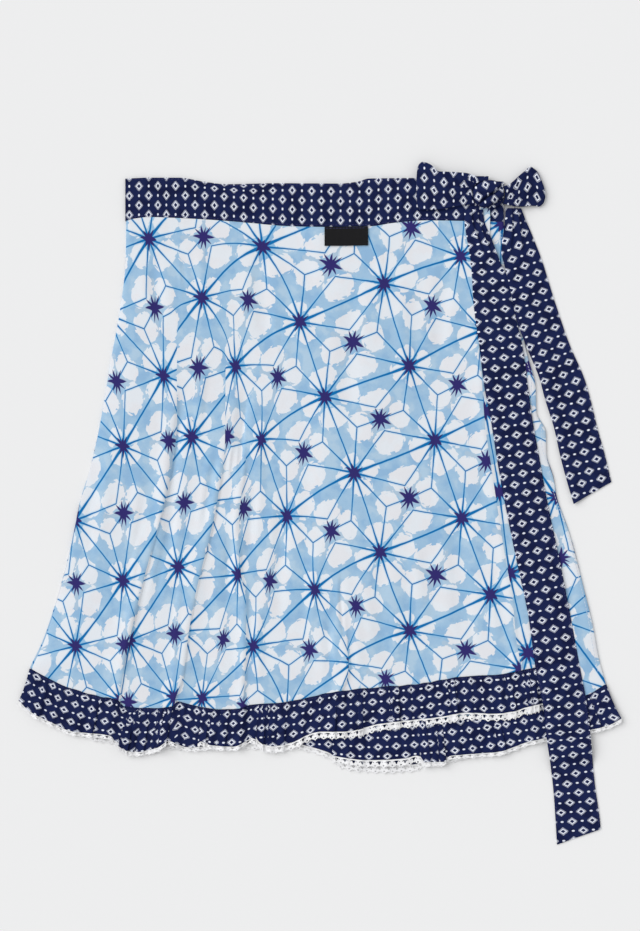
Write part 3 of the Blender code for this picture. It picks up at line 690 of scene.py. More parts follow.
def spline_through(stars):
    """A smooth map from a place in mm to the print's steps, through the stars that are given."""
    table = np.array(stars, float)
    steps, places = table[:, :2], table[:, 2:]
    scale = PERIOD[0]
    stiffness = 0.002

    def bending(where):
        square = (((where[:, None] - places) / scale) ** 2).sum(-1)
        return square * np.log(square + 1e-9)

    def plane(where):
        return np.hstack([np.ones((len(where), 1)), where / scale])

    count = len(table)
    system = np.zeros((count + 3, count + 3))
    system[:count, :count] = bending(places) + stiffness * np.eye(count)
    system[:count, count:] = plane(places)
    system[count:, :count] = plane(places).T
    weights = np.linalg.solve(system, np.vstack([steps, np.zeros((3, 2))]))

    def steps_at(x, y):
        where = np.stack([np.ravel(x), np.ravel(y)], -1)
        found = bending(where) @ weights[:count] + plane(where) @ weights[count:]
        return found.reshape(np.shape(x) + (2,))

    return steps_at


def front_print(x, y, stretch):
    """The print's steps at the corners of the outer front's faces, cut along its folds."""
    for number, hidden, reach in SMALL_CUTS:
        fold, line = FOLDS[number], fold_lines[number]
        away = x - line(y)
        side = np.where(stretch > number, 1.0, -1.0)
        x = x + side * hidden * fold_growth(fold, y) * smooth(1 - abs(away) / reach)
    maps = [spline_through(stars)(x, y) for stars in STARS]
    net = maps[0]
    for number, beside in zip(CUTTING_FOLDS, maps[1:]):
        fold, line = FOLDS[number], fold_lines[number]
        above = y - fold["path"][-1][0]
        width = np.maximum(above * CUT_BLEND, 0.01)
        ramp = smooth(0.5 + (x - line(y)) / (2 * width))
        share = np.where(above > 0.05, ramp, stretch > number)
        net = mix(net, beside, share[..., None])
    return net


# ---------------------------------------------------------------- materials

def linear(name):
    """A named colour as the shader's linear values."""
    channels = np.array(COLOURS[name]) / 255
    low = channels / 12.92
    high = ((channels + 0.055) / 1.055) ** 2.4
    return tuple(np.where(channels <= 0.04045, low, high)) + (1.0,)


def add_node(tree, kind, inputs, **settings):
    """A new shader node with its settings. Each input takes a value, a field or a socket."""
    node = tree.nodes.new("ShaderNode" + kind)
    for name, value in settings.items():
        setattr(node, name, value)
    for name, value in inputs.items():
        value = value.socket if isinstance(value, Field) else value
        if isinstance(value, bpy.types.NodeSocket):
            tree.links.new(value, node.inputs[name])
        else:
            node.inputs[name].default_value = value
    return node


class Field:
    """A number that varies over a surface: a shader node's output, with arithmetic."""

    def __init__(self, tree, socket):
        self.tree = tree
        self.socket = socket

    def math(self, operation, *others, clamp=False):
        inputs = dict(enumerate((self,) + others))
        node = add_node(self.tree, "Math", inputs, operation=operation, use_clamp=clamp)
        return Field(self.tree, node.outputs[0])

    def reversed(self):
        return (self * -1) + 1

    def ramp(self, start, end):
        """0 at start and 1 at end, with an even S between; end may be the lower one."""
        low, high = min(start, end), max(start, end)
        inputs = {"Value": self, "From Min": low, "From Max": high,
                  "To Min": float(start > end), "To Max": float(start < end)}
        node = add_node(self.tree, "MapRange", inputs, interpolation_type="SMOOTHSTEP")
        return Field(self.tree, node.outputs["Result"])


def field_method(operation):
    """A method that adds one math node to a field."""
    return lambda field, *others: field.math(operation, *others)


for method, math_operation in (
        ("__add__", "ADD"), ("__sub__", "SUBTRACT"), ("__mul__", "MULTIPLY"),
        ("__truediv__", "DIVIDE"), ("scaled", "MULTIPLY_ADD"), ("power", "POWER"),
        ("least", "MINIMUM"), ("most", "MAXIMUM"), ("size", "ABSOLUTE"), ("fract", "FRACT"),
        ("floor", "FLOOR"), ("sine", "SINE"), ("cosine", "COSINE"), ("angle_to", "ARCTAN2")):
    setattr(Field, method, field_method(math_operation))


class Finish:
    """A material in the making: its nodes, its surface coordinates and its colour so far."""

    def __init__(self, name, roughness, sheen=0.0):
        self.material = bpy.data.materials.new(name)
        self.material.use_nodes = True
        self.tree = self.material.node_tree
        self.shader = self.tree.nodes["Principled BSDF"]
        settings = {"Roughness": roughness, "Specular IOR Level": 0.12, "Sheen Weight": sheen,
                    "Sheen Roughness": 0.5}
        for label, value in settings.items():
            self.shader.inputs[label].default_value = value
        self.colour = None

    def add(self, kind, inputs, **settings):
        return add_node(self.tree, kind, inputs, **settings)

    def fields(self, node, *outputs):
        return [Field(self.tree, node.outputs[output]) for output in outputs]

    def coordinates(self, map_name):
        """The two coordinates of a UV map."""
        surface = self.add("UVMap", {}, uv_map=map_name)
        return self.fields(self.add("SeparateXYZ", {0: surface.outputs["UV"]}), "X", "Y")

    def vector(self, x, y):
        return self.add("CombineXYZ", {"X": x, "Y": y}).outputs["Vector"]

    def noise(self, place, step, detail=2.0, shift=0.0):
        """Even noise from 0 to 1 about a step wide."""
        if shift:
            moved = self.add("VectorMath", {0: place, 1: (0.0, 0.0, shift)}, operation="ADD")
            place = moved.outputs["Vector"]
        inputs = {"Vector": place, "Scale": 1.0 / step, "Detail": detail}
        node = self.add("TexNoise", inputs, noise_dimensions="3D" if shift else "2D")
        return self.fields(node, "Fac")[0]

    def cells(self, place, step):
        """Patches about a step wide, each with two even values from 0 to 1."""
        inputs = {"Vector": place, "Scale": 1.0 / step}
        node = self.add("TexVoronoi", inputs, voronoi_dimensions="2D")
        parts = self.add("SeparateColor", {"Color": node.outputs["Color"]})
        return self.fields(parts, "Red", "Green")

    def paint(self, name, amount=None):
        """Lays a named colour over what is there, where amount is 1."""
        over = linear(name)
        if amount is None:
            self.colour = over
        else:
            node = self.add("Mix", {0: amount, 6: self.colour, 7: over}, data_type="RGBA")
            self.colour = node.outputs[2]

    def finish(self, height, distance):
        """Joins the colour and a bump from the height field, whose 1 stands for distance in mm."""
        inputs = {"Strength": 1.0, "Distance": distance * MM, "Height": height}
        bump = self.add("Bump", inputs)
        self.tree.links.new(self.colour, self.shader.inputs["Base Color"])
        self.tree.links.new(bump.outputs["Normal"], self.shader.inputs["Normal"])
        return self.material


def weave(x, y, pitch):
    """The height of a plain weave: yarns a pitch apart that go over and under."""
    turn = math.tau / pitch
    over = ((x * (turn / 2)).sine() * (y * (turn / 2)).sine()).size()
    return (x * turn).sine() * 0.25 + (y * turn).sine() * 0.25 + over * 0.5


def segment_distance(x, y, start, end):
    """The distance from a straight run."""
    run_x, run_y = end[0] - start[0], end[1] - start[1]
    square = run_x ** 2 + run_y ** 2
    from_x, from_y = x - start[0], y - start[1]
    along = (from_x * (run_x / square)).math("ADD", from_y * (run_y / square), clamp=True)
    off_x, off_y = from_x - along * run_x, from_y - along * run_y
    return (off_x * off_x + off_y * off_y).power(0.5)


def patches_at(x, y, rows):
    """Below 1 inside the nearest of the rounded patches, above it outside."""
    nearest = None
    for middle_x, middle_y, half_x, half_y in rows:
        across = x.scaled(1 / half_x, -middle_x / half_x).size().power(PATCH_SQUARE)
        up = y.scaled(1 / half_y, -middle_y / half_y).size().power(PATCH_SQUARE)
        patch = across + up
        nearest = patch if nearest is None else nearest.least(patch)
    return nearest


def inky_star(x, y, distance, middle, arms, reach, root, corners):
    """1 inside a star with slightly bent arms, which leave a wider gap on its left and right."""
    angle = y.angle_to(x) - STAR_TURN
    even = angle - (angle * 2).sine() * 0.14 - (angle * 4).sine() * 0.087
    even = even + (angle * 2).cosine() * distance * STAR_BEND
    turn = math.tau / arms
    away = ((even * (1 / turn)).fract() - 0.5).size() * distance * turn
    longest = (angle * 3 + 1.9).sine() * (reach * 0.12) + (angle * 7).sine() * (reach * 0.08) + reach
    arm = ((distance / longest).power(2.0) * -root + root - away).ramp(-0.25, 0.3)
    heart = (angle * 2 + 0.3).cosine() * 0.5 - (angle * 4).cosine() * corners
    heart = (heart + middle - distance).ramp(-0.3, 0.3)
    return arm.most(heart)


def print_cotton():
    """Light blue cotton with a tie-dyed look: a net of blue lines between dark stars, and white
    patches round them. The net repeats by rule in both of its directions."""
    made = Finish("print_cotton", roughness=0.86, sheen=0.08)
    x, y = made.coordinates("cloth")
    i, j = made.coordinates("net")
    place = made.vector(x, y)
    wobble_x = (made.noise(place, 9.0) - 0.5) * 2.0
    wobble_y = (made.noise(place, 9.0, shift=7.0) - 0.5) * 2.0
    # Places from the nearest large star and from the nearest small one
    column, row = (i + 0.5).floor(), (j + 0.5).floor()
    star_x = (i - column) * PERIOD[0] + wobble_x * 0.35
    star_y = (j - row) * PERIOD[1] + wobble_y * 0.35
    from_x, from_y = star_x.size(), star_y.size()
    small_x = (i.fract() - 0.5) * PERIOD[0] + wobble_x * 0.35
    small_y = (j.fract() - 0.5) * PERIOD[1] + wobble_y * 0.35
    wide = ((column + row) * 0.5).fract() * 2
    near = (star_x * star_x + star_y * star_y).power(0.5)
    far = (small_x * small_x + small_y * small_y).power(0.5)

    washes = made.noise(place, 20.0, detail=3.0)
    made.paint("ground")
    made.paint("ground_deep", washes.ramp(0.5, 0.66) * 0.7)
    made.paint("ground_pale", washes.ramp(0.48, 0.34) * 0.8)

    # Brushed strokes on the diagonals of a small star
    stroke = segment_distance(small_x.size(), small_y.size(), (5, 4.6), (17, 15.5))
    made.paint("brushed", (stroke + wobble_x * 0.4).ramp(3.0, 1.8) * 0.8)

    # White patches, with stepped edges
    step_x, step_y = made.cells(place, 4.0)
    rough_x, rough_y = (step_x - 0.5) * 3.3, (step_y - 0.5) * 3.3
    ring_x, ring_y = star_x + rough_x, star_y + rough_y
    ring = patches_at(ring_x, ring_y, STAR_PATCHES) * wide.reversed()
    ring = ring + patches_at(ring_x, ring_y, WIDE_STAR_PATCHES) * wide
    patch = ring.least(patches_at(small_x + rough_x, small_y + rough_y, SMALL_STAR_PATCHES))
    white = patch.ramp(1.03, 0.86)
    made.paint("white", white)
    made.paint("white_warm", white * washes.ramp(0.42, 0.62) * 0.7)

    # Lines of the net, with a light rim where the dye has spread: the distance from each, half its
    # width, and how much it gains near a large star
    swell = near.ramp(30, 5)
    runs = (
        (from_y, 0.95, 0.65),
        (from_x, 0.66, 0.4),
        (segment_distance(from_x, from_y, (0, 0), JOIN_BELOW), 0.58, 0.45),
        (segment_distance(from_x, from_y, (0, 0), JOIN_SIDE), 0.58, 0.45),
        (segment_distance(from_x, from_y, JOIN_SIDE, (PERIOD[0] / 2, PERIOD[1] / 2)), 0.58, 0.0),
    )
    ink = None
    for distance, thin, more in runs:
        edge = distance - swell * more - thin
        ink = edge if ink is None else ink.least(edge)
    made.paint("halo", ink.ramp(1.5, 0.5) * 0.32)
    made.paint("line", ink.ramp(0.32, -0.32))

    # The stars
    dark = inky_star(star_x, star_y, near, **LARGE_STAR)
    made.paint("purple", dark.most(inky_star(small_x, small_y, far, **SMALL_STAR)))
    height = weave(x, y, 0.55) * 0.35 + made.noise(place, 14.0, detail=4.0) * 2.5
    return made.finish(height, 0.12)


def navy_cotton():
    """Navy cotton with rows of small white diamond rings and dots between them."""
    made = Finish("navy_cotton", roughness=0.9, sheen=0.0)
    x, y = made.coordinates("cloth")
    place = made.vector(x, y)
    column, row = x / DIAMOND_PITCH[0], y / DIAMOND_PITCH[1]
    # One cell holds a diamond where column and row add up to an even number, else a dot
    near_column, near_row = (column + 0.5).floor(), (row + 0.5).floor()
    odd = ((near_column + near_row) * 0.5).fract() * 2
    wobble = (made.noise(place, 2.2) - 0.5) * 0.5
    off_x = (column - near_column).size() * DIAMOND_PITCH[0]
    off_y = (row - near_row).size() * DIAMOND_PITCH[1]
    ring = off_x / DIAMOND_HALF[0] + off_y / DIAMOND_HALF[1] + wobble * 0.3
    rim = ((ring - 0.94).size()).ramp(0.1, 0.04) * 0.6
    diamond = ((ring - 0.6).size()).ramp(0.2, 0.13).most(rim) * odd.reversed()
    dot = ((off_x / DOT_HALF[0]).power(2.0) + (off_y / DOT_HALF[1]).power(2.0)).ramp(1.2, 0.7) * odd
    made.paint("navy")
    made.paint("navy_deep", made.noise(place, 16.0, detail=3.0).ramp(0.45, 0.65) * 0.7)
    made.paint("navy_white", diamond.most(dot) * 0.95)
    height = weave(x, y, 0.5) * 0.4 + made.noise(place, 9.0, detail=4.0) * 2.5
    return made.finish(height, 0.12)


def lace_cotton():
    made = Finish("cotton_lace", roughness=0.9, sheen=0.1)
    x, y = made.coordinates("cloth")
    place = made.vector(x, y)
    made.paint("lace")
    made.paint("white_warm", made.noise(place, 5.0).ramp(0.4, 0.7) * 0.2)
    loops = (x * (math.tau / 1.1)).sine() * (y * (math.tau / 1.3) + x * 1.5).sine()
    return made.finish(loops * 0.5 + made.noise(place, 0.8), 0.1)


def label_satin():
    made = Finish("woven_label", roughness=0.45, sheen=0.0)
    x, y = made.coordinates("cloth")
    place = made.vector(x, y)
    made.paint("label")
    made.paint("thread", made.noise(place, 0.7).ramp(0.55, 0.8) * 0.06)
    return made.finish((x * (math.tau / 0.35)).sine() * 0.5 + made.noise(place, 6.0) * 2, 0.06)


def thread_cotton(name, colour, shade):
    made = Finish(name, roughness=0.7)
    place = made.tree.nodes.new("ShaderNodeTexCoord").outputs["Object"]
    made.paint(colour)
    made.paint(shade, made.noise(place, 0.002).ramp(0.4, 0.6) * 0.6)
    return made.finish(made.noise(place, 0.0005), 0.05)


# The material of each slot
CLOTHS = {
    "print_cotton": print_cotton(),
    "navy_cotton": navy_cotton(),
    "cotton_lace": lace_cotton(),
    "woven_label": label_satin(),
}
THREAD = thread_cotton("navy_thread", "thread", "navy")
PALE_THREAD = thread_cotton("pale_thread", "pale_thread", "ground_pale")


# ---------------------------------------------------------------- panels and bands

def rolled(x, z, left_drop, right_drop):
    """Heights that roll down over the last columns at each side, towards the layer below."""
    from_left = smooth((x - x[:, :1]) / ROLL)
    from_right = smooth((x[:, -1:] - x) / ROLL)
    return z - left_drop * (1 - np.sqrt(from_left)) - right_drop * (1 - np.sqrt(from_right))


def with_roll(x):
    """Columns with a few more close to each side, for the roll."""
    steps = np.array((0.0, 0.25, 0.8, 1.6))
    left = x[:, :1] + steps
    right = x[:, -1:] - steps[::-1]
    return np.hstack([left, x[:, 1:-1], right])


def puckered(x):
    """How far the ruffle's gathers pull its seam up and down."""
    return PUCKER * np.sin(x / 3.1 + 2 * np.sin(x / 17)) * (0.6 + 0.4 * np.sin(x / 41))


def fade_at_seams(v):
    """0 at a panel's two seams, and 1 at a twelfth of its length from them."""
    return smooth(v * SEAM_FADE) * smooth((1 - v) * SEAM_FADE)


def front_top(x):
    """The outer front's upper edge: the band's seam, but for the corner drawn up at the knot."""
    drawn_up = smooth((x - CORNER["left"]) / CORNER["slant"])
    return band_bottom(x) - SEAM_GAP + CORNER["height"] * drawn_up


def make_outer_front():
    """The printed front on top, with its long folds, creases and puff."""
    v = np.linspace(0, 1, FRONT_ROWS)
    level = mix(HEM["outer"][-1][1], BAND_BOTTOM[-1][1], v)
    folds = []
    for fold, line in zip(FOLDS, fold_lines):
        # Where the fold's line meets each row, found step by step
        place = level
        for _ in range(6):
            edge = line(place)
            place = mix(hem["outer"](edge), front_top(edge), v)
        folds.append((edge, fold_growth(fold, place), fold["height"], fold["tuck"],
                      fold["gentle"], 1))
    right = outer_edge(level) + CORNER["lean"] * smooth((level - CORNER["from"]) / CORNER["over"])
    x, height, stretch = folded_columns((left_side(level), right), folds, FRONT_STEP,
                                        FOLD_SPREAD["front"])
    x[:, 1] = x[:, 0] + SIDE_COLUMN
    v = v[:, None]
    y = mix(hem["outer"](x) + puckered(x), front_top(x), v)
    puff = PUFF["height"] * smooth((PUFF["right"] - x) / PUFF["over"])
    puff = puff * smooth((PUFF["top"] - y) / PUFF["over"]) * smooth((x - x[:, :1]) / EDGE_FALL)
    z = outer_floor(x, y) + WALL / 2 + height
    z = z + fade_at_seams(v) * (puff + creased(x, y, FRONT_CREASES) + rumple(x, y))
    z = np.maximum(z, outer_floor(x, y) - PRESS)
    z = rolled(x, z, ROLL_DROP, 0.0)
    corners = grid_faces(*x.shape)
    cx, cy = x.ravel()[corners], y.ravel()[corners]
    net = front_print(cx, cy, np.broadcast_to((stretch - 0.5)[None, :, None], cx.shape))
    piece = cloth("outer_front_panel", stacked(x, y, z),
                  {"cloth": np.stack([x, y], -1), "net": net}, "print_cotton")


def make_hidden_panel(kind, name, left, floor, creases, stars, rows, columns):
    """The back panel, or the inner front, of which only the right part shows."""
    v = shares_up(rows)
    x_left = left(mix(HEM[kind][0][1], INNER_BAND_BOTTOM, v))
    x_right = right_side(mix(HEM[kind][-1][1], INNER_BAND_BOTTOM, v))
    x = with_roll(mix(x_left, x_right, shares_along(columns)))
    y = mix(hem[kind](x) + puckered(x), INNER_BAND_BOTTOM - SEAM_GAP, v)
    relief = fade_at_seams(v) * (creased(x, y, creases) + rumple(x, y, HIDDEN_RUMPLE))
    on_table = floor is table_floor
    if on_table:
        z = COTTON / 2 + np.maximum(relief, 0) * TABLE_RELIEF
    else:
        z = floor(x, y) + WALL / 2 + relief
        z = np.maximum(z, floor(x, y) - PRESS)
        z = rolled(x, z, 0.0, ROLL_DROP)
    net = spline_through(stars)(x, y)
    piece = cloth(name, stacked(x, y, z), {"cloth": np.stack([x, y], -1), "net": net},
                  "print_cotton")


def band_seam(x):
    return np.maximum(band_bottom(x), front_top(x) + SEAM_GAP)


def band_map(x, y):
    """The band's place on its cloth: its rows of diamonds lie closer where its edge rolls away."""
    across = (y - band_row(x)) * BAND_SLACK
    rolled_away = smooth(1 - abs(x - BAND_ROLL["x"]) / BAND_ROLL["half"]) * BAND_ROLL["share"]
    across = across + rolled_away * np.maximum(across - BAND_ROLL["from"], 0) ** 2
    return np.stack([x - BAND_FIRST_COLUMN + band_push(x), across], -1)


def make_band(name, left, right, low, floor, columns):
    """One stretch of the doubled waistband, on its own floor."""
    v = shares_up(BAND_ROWS)
    x = mix(left, right, shares_along(columns)) + 0 * v
    y = mix(low(x), band_top(x), v)
    z = floor(x, y) + BAND_BELLY * np.sin(np.pi * v) ** 0.5
    if floor is table_floor:
        z = z + DOUBLED_COTTON / 2
    else:
        z = z + WALL / 2 + BAND_RIPPLE * np.sin(x / 9 + 2 * np.sin(x / 31)) * np.sin(np.pi * v)
    piece = cloth(name, stacked(x, y, z), {"cloth": band_map(x, y)}, "navy_cotton",
                  thickness=DOUBLED_COTTON)


def make_panels():
    make_hidden_panel("back", "back_panel", left_side, table_floor, BACK_CREASES, BACK_STARS,
                      80, 90)
    make_hidden_panel("inner", "inner_front_panel", inner_edge, inner_floor, INNER_CREASES,
                      INNER_STARS, 120, 70)
    make_outer_front()
    straight = line_through(((BAND_LEFT, INNER_BAND_BOTTOM), (INNER_BAND_RIGHT, INNER_BAND_BOTTOM)))
    make_band("waistband_back", BAND_LEFT, INNER_BAND_RIGHT, straight, table_floor, 120)
    make_band("waistband_inner", INNER_BAND_LEFT, INNER_BAND_RIGHT, straight, inner_floor, 80)
    make_band("waistband_outer", BAND_LEFT, OUTER_BAND_RIGHT, band_seam, outer_floor, 170)


# ---------------------------------------------------------------- ruffles and lace

def ruffle_folds(kind, left, right):
    """The listed folds of a ruffle, with small ones in the wider gaps between them."""
    listed = sorted(RUFFLE_FOLDS[kind])
    stops = [left] + [fold[0] for fold in listed] + [right]
    more = []
    for start, end in zip(stops, stops[1:]):
        count = int((end - start) / SMALL_FOLD["gap"])
        for k in range(1, count + 1):
            uneven = SMALL_FOLD["uneven"] * math.sin(7 * k + start)
            where = mix(start, end, (k + uneven) / (count + 1))
            more.append((where, 1 if (k + len(more)) % 2 else -1, SMALL_FOLD["lap"]))
    clear = SMALL_FOLD["clear"]
    return [fold for fold in sorted(listed + more) if left + clear < fold[0] < right - clear]


def make_ruffle(kind, floor):
    """A gathered ruffle from its seam to its loose edge, and the lace sewn along that edge."""
    name = "ruffle_" + kind
    seam, edge = hem[kind], ruffle_edge[kind]
    seam_ends = (HEM[kind][0][0], HEM[kind][-1][0])
    ends = (RUFFLE_EDGE[kind][0][0], RUFFLE_EDGE[kind][-1][0])
    reach = (seam_ends[1] - seam_ends[0]) / (ends[1] - ends[0])
    depth = shares_up(RUFFLE_ROWS)
    grown = 0.8 + 0.2 * smooth(depth[:, 0] * 1.2)
    blank = np.ones(len(depth))
    folds = []
    for where, side, lap in ruffle_folds(kind, *ends):
        rise = CREST[kind] * (FOLD_RISE["least"] + FOLD_RISE["more"] * min(lap, FOLD_RISE["lap"]))
        folds.append((where * blank, grown, rise, lap, RUFFLE_GENTLE, side))
    x, height, _ = folded_columns((ends[0] * blank, ends[1] * blank), folds, RUFFLE_STEP,
                                  FOLD_SPREAD["ruffle"])
    # Columns slant from their place on the edge to their place on the seam
    x = mix(seam_ends[0] + reach * (x - ends[0]), x, depth)
    y = mix(seam(x) + puckered(x) - SEAM_GAP, edge(x), depth)
    flounce = FLOUNCE * np.sin(x / 6.1 + 3 * np.sin(x / 37)) * smooth(depth * 1.5)
    gather = GATHER["height"] * np.sin(math.tau * x / GATHER["pitch"] + 2 * np.sin(x / 13))
    gather = gather * smooth(1 - depth / GATHER["fade"]) * smooth(depth * 20)
    lift = COTTON / 2 if floor is table_floor else WALL / 2
    room = smooth((seam(x) - y) / RUFFLE_DEPTH)
    z = floor(x, y) + lift + height * np.maximum(room, 0.3) + (flounce + FLOUNCE) * SMALL_WAVES * room
    z = z + (gather + GATHER["height"]) * SMALL_WAVES * (1 - room)
    # Each row of the print lies at an even distance below the seam, and jumps where a fold hides it
    middle = len(depth) // 2
    steps = np.diff(np.stack([x[-1], y[middle], z[-1]]), axis=1)
    along = length_along(np.sqrt((steps ** 2).sum(0)))
    crinkle = GATHER["print"] * np.sin(x / 2.3 + 2 * np.sin(x / 9))
    crinkle = crinkle * smooth(1 - depth / GATHER["fade"])
    below = (seam(x) - y) * RUFFLE_SLACK[0] + RUFFLE_FIRST_ROW
    fabric = np.stack(np.broadcast_arrays(below, along[None, :] * RUFFLE_SLACK[1] + crinkle), -1)
    piece = cloth(name, stacked(x, y, z), {"cloth": fabric}, "navy_cotton")
    make_lace(kind, along, x[-1], edge(x[-1]), z[-1])


def lace_holes(along, below):
    """Below 0 in the lace's holes and past its scalloped edge, in mm from the yarn's border."""
    phase = along / LACE_PITCH
    off = (phase - np.round(phase)) * LACE_PITCH
    half = (np.floor(phase) + 0.5 - phase) * LACE_PITCH
    # A triangular hole under each scallop's valley, with its point down
    tip = TRIANGLE["tip"] - below
    triangle = np.maximum(below - TRIANGLE["bottom"], TRIANGLE["top"] - below)
    triangle = np.maximum(abs(half) - tip * TRIANGLE["spread"], triangle)
    # A round hole inside each scallop, and two small ones above it
    round_hole = np.hypot(off, (below - ROUND_HOLE["below"]) * ROUND_HOLE["squash"])
    small = np.hypot(abs(off) - SMALL_HOLE["off"], below - SMALL_HOLE["below"])
    scallop = LACE_WIDTH - SCALLOP_DEPTH * abs(np.sin(math.pi * phase)) - below
    frill = FRILL_DEPTH * np.cos(math.tau * along / (LACE_PITCH / 5))
    return np.minimum.reduce([triangle, round_hole - ROUND_HOLE["radius"],
                              small - SMALL_HOLE["radius"], scallop + frill])


def make_lace(kind, along, edge_x, edge_y, edge_z):
    """The lace: a fine grid along the ruffle's edge, without the faces that lie in its holes."""
    name = "lace_" + kind
    columns = int(along[-1] / LACE_STEP)
    s = np.linspace(0, along[-1], columns)[None, :] + np.zeros((LACE_ROWS, 1))
    d = np.linspace(0, LACE_WIDTH + LACE_SPARE, LACE_ROWS)[:, None] + np.zeros((1, columns))
    # Points near a border move onto it, so that the holes come out round
    field = lace_holes(s, d)
    tiny = 0.05
    slope_s = (lace_holes(s + tiny, d) - lace_holes(s - tiny, d)) / (2 * tiny)
    slope_d = (lace_holes(s, d + tiny) - lace_holes(s, d - tiny)) / (2 * tiny)
    square = np.maximum(slope_s ** 2 + slope_d ** 2, 0.25)
    shift = np.where(abs(field) < LACE_STEP * 0.5, -field / square, 0.0)
    shift = np.where((d < 0.5) | (s < 1) | (s > along[-1] - 1), 0.0, shift)
    s = s + shift * slope_s
    d = d + shift * slope_d
    x = np.interp(s, along, edge_x)
    shows = line_through(LACE_SHOWS[kind])(x)
    y = np.interp(s, along, edge_y) - SEAM_GAP - d * shows
    ripple = LACE_RIPPLE * np.sin(s / 2.9) * smooth(d / 4)
    z = np.interp(s, along, edge_z) + ripple * (kind != "back") + LACE_LIFT
    middle_s = (s[:-1, :-1] + s[1:, 1:]) / 2
    middle_d = (d[:-1, :-1] + d[1:, 1:]) / 2
    keep = lace_holes(middle_s, middle_d) > 0
    points = stacked(x, y, z)[::-1]
    maps = {"cloth": np.stack([s, d], -1)[::-1]}
    piece = cloth(name, points, maps, "cotton_lace", thickness=LACE_YARN, keep=keep[::-1])


def make_ruffles():
    make_ruffle("back", table_floor)
    make_ruffle("inner", inner_floor)
    make_ruffle("outer", folded_floor)


# ---------------------------------------------------------------- bow

def squared_round(share):
    """The knot's half outline, as a share of its size, at a share of the way to its side."""
    share = np.clip(abs(share), 0.0, 1.0)
    return (1 - share ** KNOT_SQUARE) ** (1 / KNOT_SQUARE)


def knot_low(x):
    """The y just below the knot at this x."""
    across = (x - KNOT_CENTRE[0]) / (KNOT_HALF[0] + KNOT_CLEAR)
    return KNOT_CENTRE[1] - (KNOT_HALF[1] + KNOT_CLEAR) * squared_round(across)


def knot_side(y, side):
    """The x just outside the knot, on its left (-1) or right (+1), at this y."""
    up = (y - KNOT_CENTRE[1]) / (KNOT_HALF[1] + KNOT_CLEAR)
    return KNOT_CENTRE[0] + side * (KNOT_HALF[0] + KNOT_CLEAR) * squared_round(up)


def pleat_lines(pleats, growth):
    """The share of a strip's width where each pleat lies, a row for each level."""
    return np.stack([mix(far, near, growth) for far, near, *_ in pleats], -1)


def pleated_columns(u, pleats, growth):
    """The share of the width where each column lies, when columns follow the slanting pleats."""
    fixed = [0.0] + [near for _, near, *_ in pleats] + [1.0]
    rows = [np.interp(u, fixed, [0.0, *lines, 1.0]) for lines in pleat_lines(pleats, growth)]
    return np.stack(rows)


def pleat_height(share, width, pleats, growth):
    """The pleats' height: each climbs to its edge from the left and drops on the right."""
    height = np.zeros(np.broadcast(share, width).shape)
    for line in pleat_lines(pleats, growth).T:
        away = (share - line[:, None]) * width
        side = np.where(away > 0, PLEAT["steep"], PLEAT["gentle"])
        height += PLEAT["height"] * smooth(growth * 2)[:, None] * smooth(1 - abs(away) / side)
    return height


def pleated_print(along, across, u, pleats, growth):
    """The fabric's place at the corners of a strip's faces, which jumps at each pleat."""
    corners = grid_faces(*across.shape)
    place = np.stack([along.ravel()[corners], across.ravel()[corners]], -1)
    middle = (u[:-1] + u[1:]) / 2
    hidden = growth[:-1, None, None]
    for _, near, hidden_along, hidden_across in pleats:
        past = (middle > near)[None, :, None] * hidden
        place[..., 0] += hidden_along * past
        place[..., 1] += hidden_across * past
    return place


def strip_place(x, y, side, offset, top):
    """How far along a strip and across it a place lies, for a strip that follows its side."""
    step = 2.0
    span = 8.0
    levels = np.arange(-350.0, 312.0, step)
    slopes = (side(levels + span) - side(levels - span)) / (2 * span)
    length = length_along(step * np.hypot(1, slopes[:-1]))
    slope = np.interp(y, levels, slopes)
    off = x - side(y) + offset
    foot = y + slope * off / (1 + slope ** 2)
    along = np.interp(top, levels, length) - np.interp(foot, levels, length)
    return along, off / np.hypot(1, slope)


def make_tail(name, rows, end, top, anchor, pleats):
    """A tie end that hangs from the knot and lies over the skirt and the table.

    Near the knot it is folded lengthwise: the cloth lies full size from its anchored edge, 0 for
    the left one or 1 for the right, and the rest is turned under.
    """
    left_line = line_through(rows, 1)
    right_line = line_through(rows, 2)
    v = np.linspace(0, 1, round((top - end[0]) / TAIL_STEP))
    u = np.linspace(0, 1, STRIP_COLUMNS)
    growth = smooth(1 - (top - end[0]) * (1 - v) / TAIL_PLEAT_REACH)
    share = pleated_columns(u, pleats, growth)
    x_top = mix(left_line(top), right_line(top), share)
    y_top = np.minimum(knot_low(x_top), top)
    y = mix(mix(*end, share), y_top, v[:, None])
    x = mix(left_line(y), right_line(y), share)
    width = right_line(y) - left_line(y)
    edge = TAIL_EDGE * (np.sqrt(smooth(np.minimum(share, 1 - share) * width / ROLL)) - 1)
    z = laid_height(x, y) + WALL / 2 + pleat_height(share, width, pleats, growth) + edge
    z = z + TAIL_RIPPLE * np.sin(y / 23 + 3 * share) * np.sin(y / 11) * (1 - growth[:, None])
    z = np.maximum(z, DOUBLED_COTTON / 2)
    side = (left_line, right_line)[anchor]
    along, across = strip_place(x, y, side, TIE_WIDTH * (anchor - 0.5), top)
    along = along * TIE_SLACK[name][1] - line_through(TIE_PULL[name], 2)(y)
    across = across * TIE_SLACK[name][0] - line_through(TIE_PULL[name])(y)
    fabric = pleated_print(along, across, u, pleats, growth)
    piece = cloth(name, stacked(x, y, z), {"cloth": fabric}, "navy_cotton",
                  thickness=DOUBLED_COTTON)


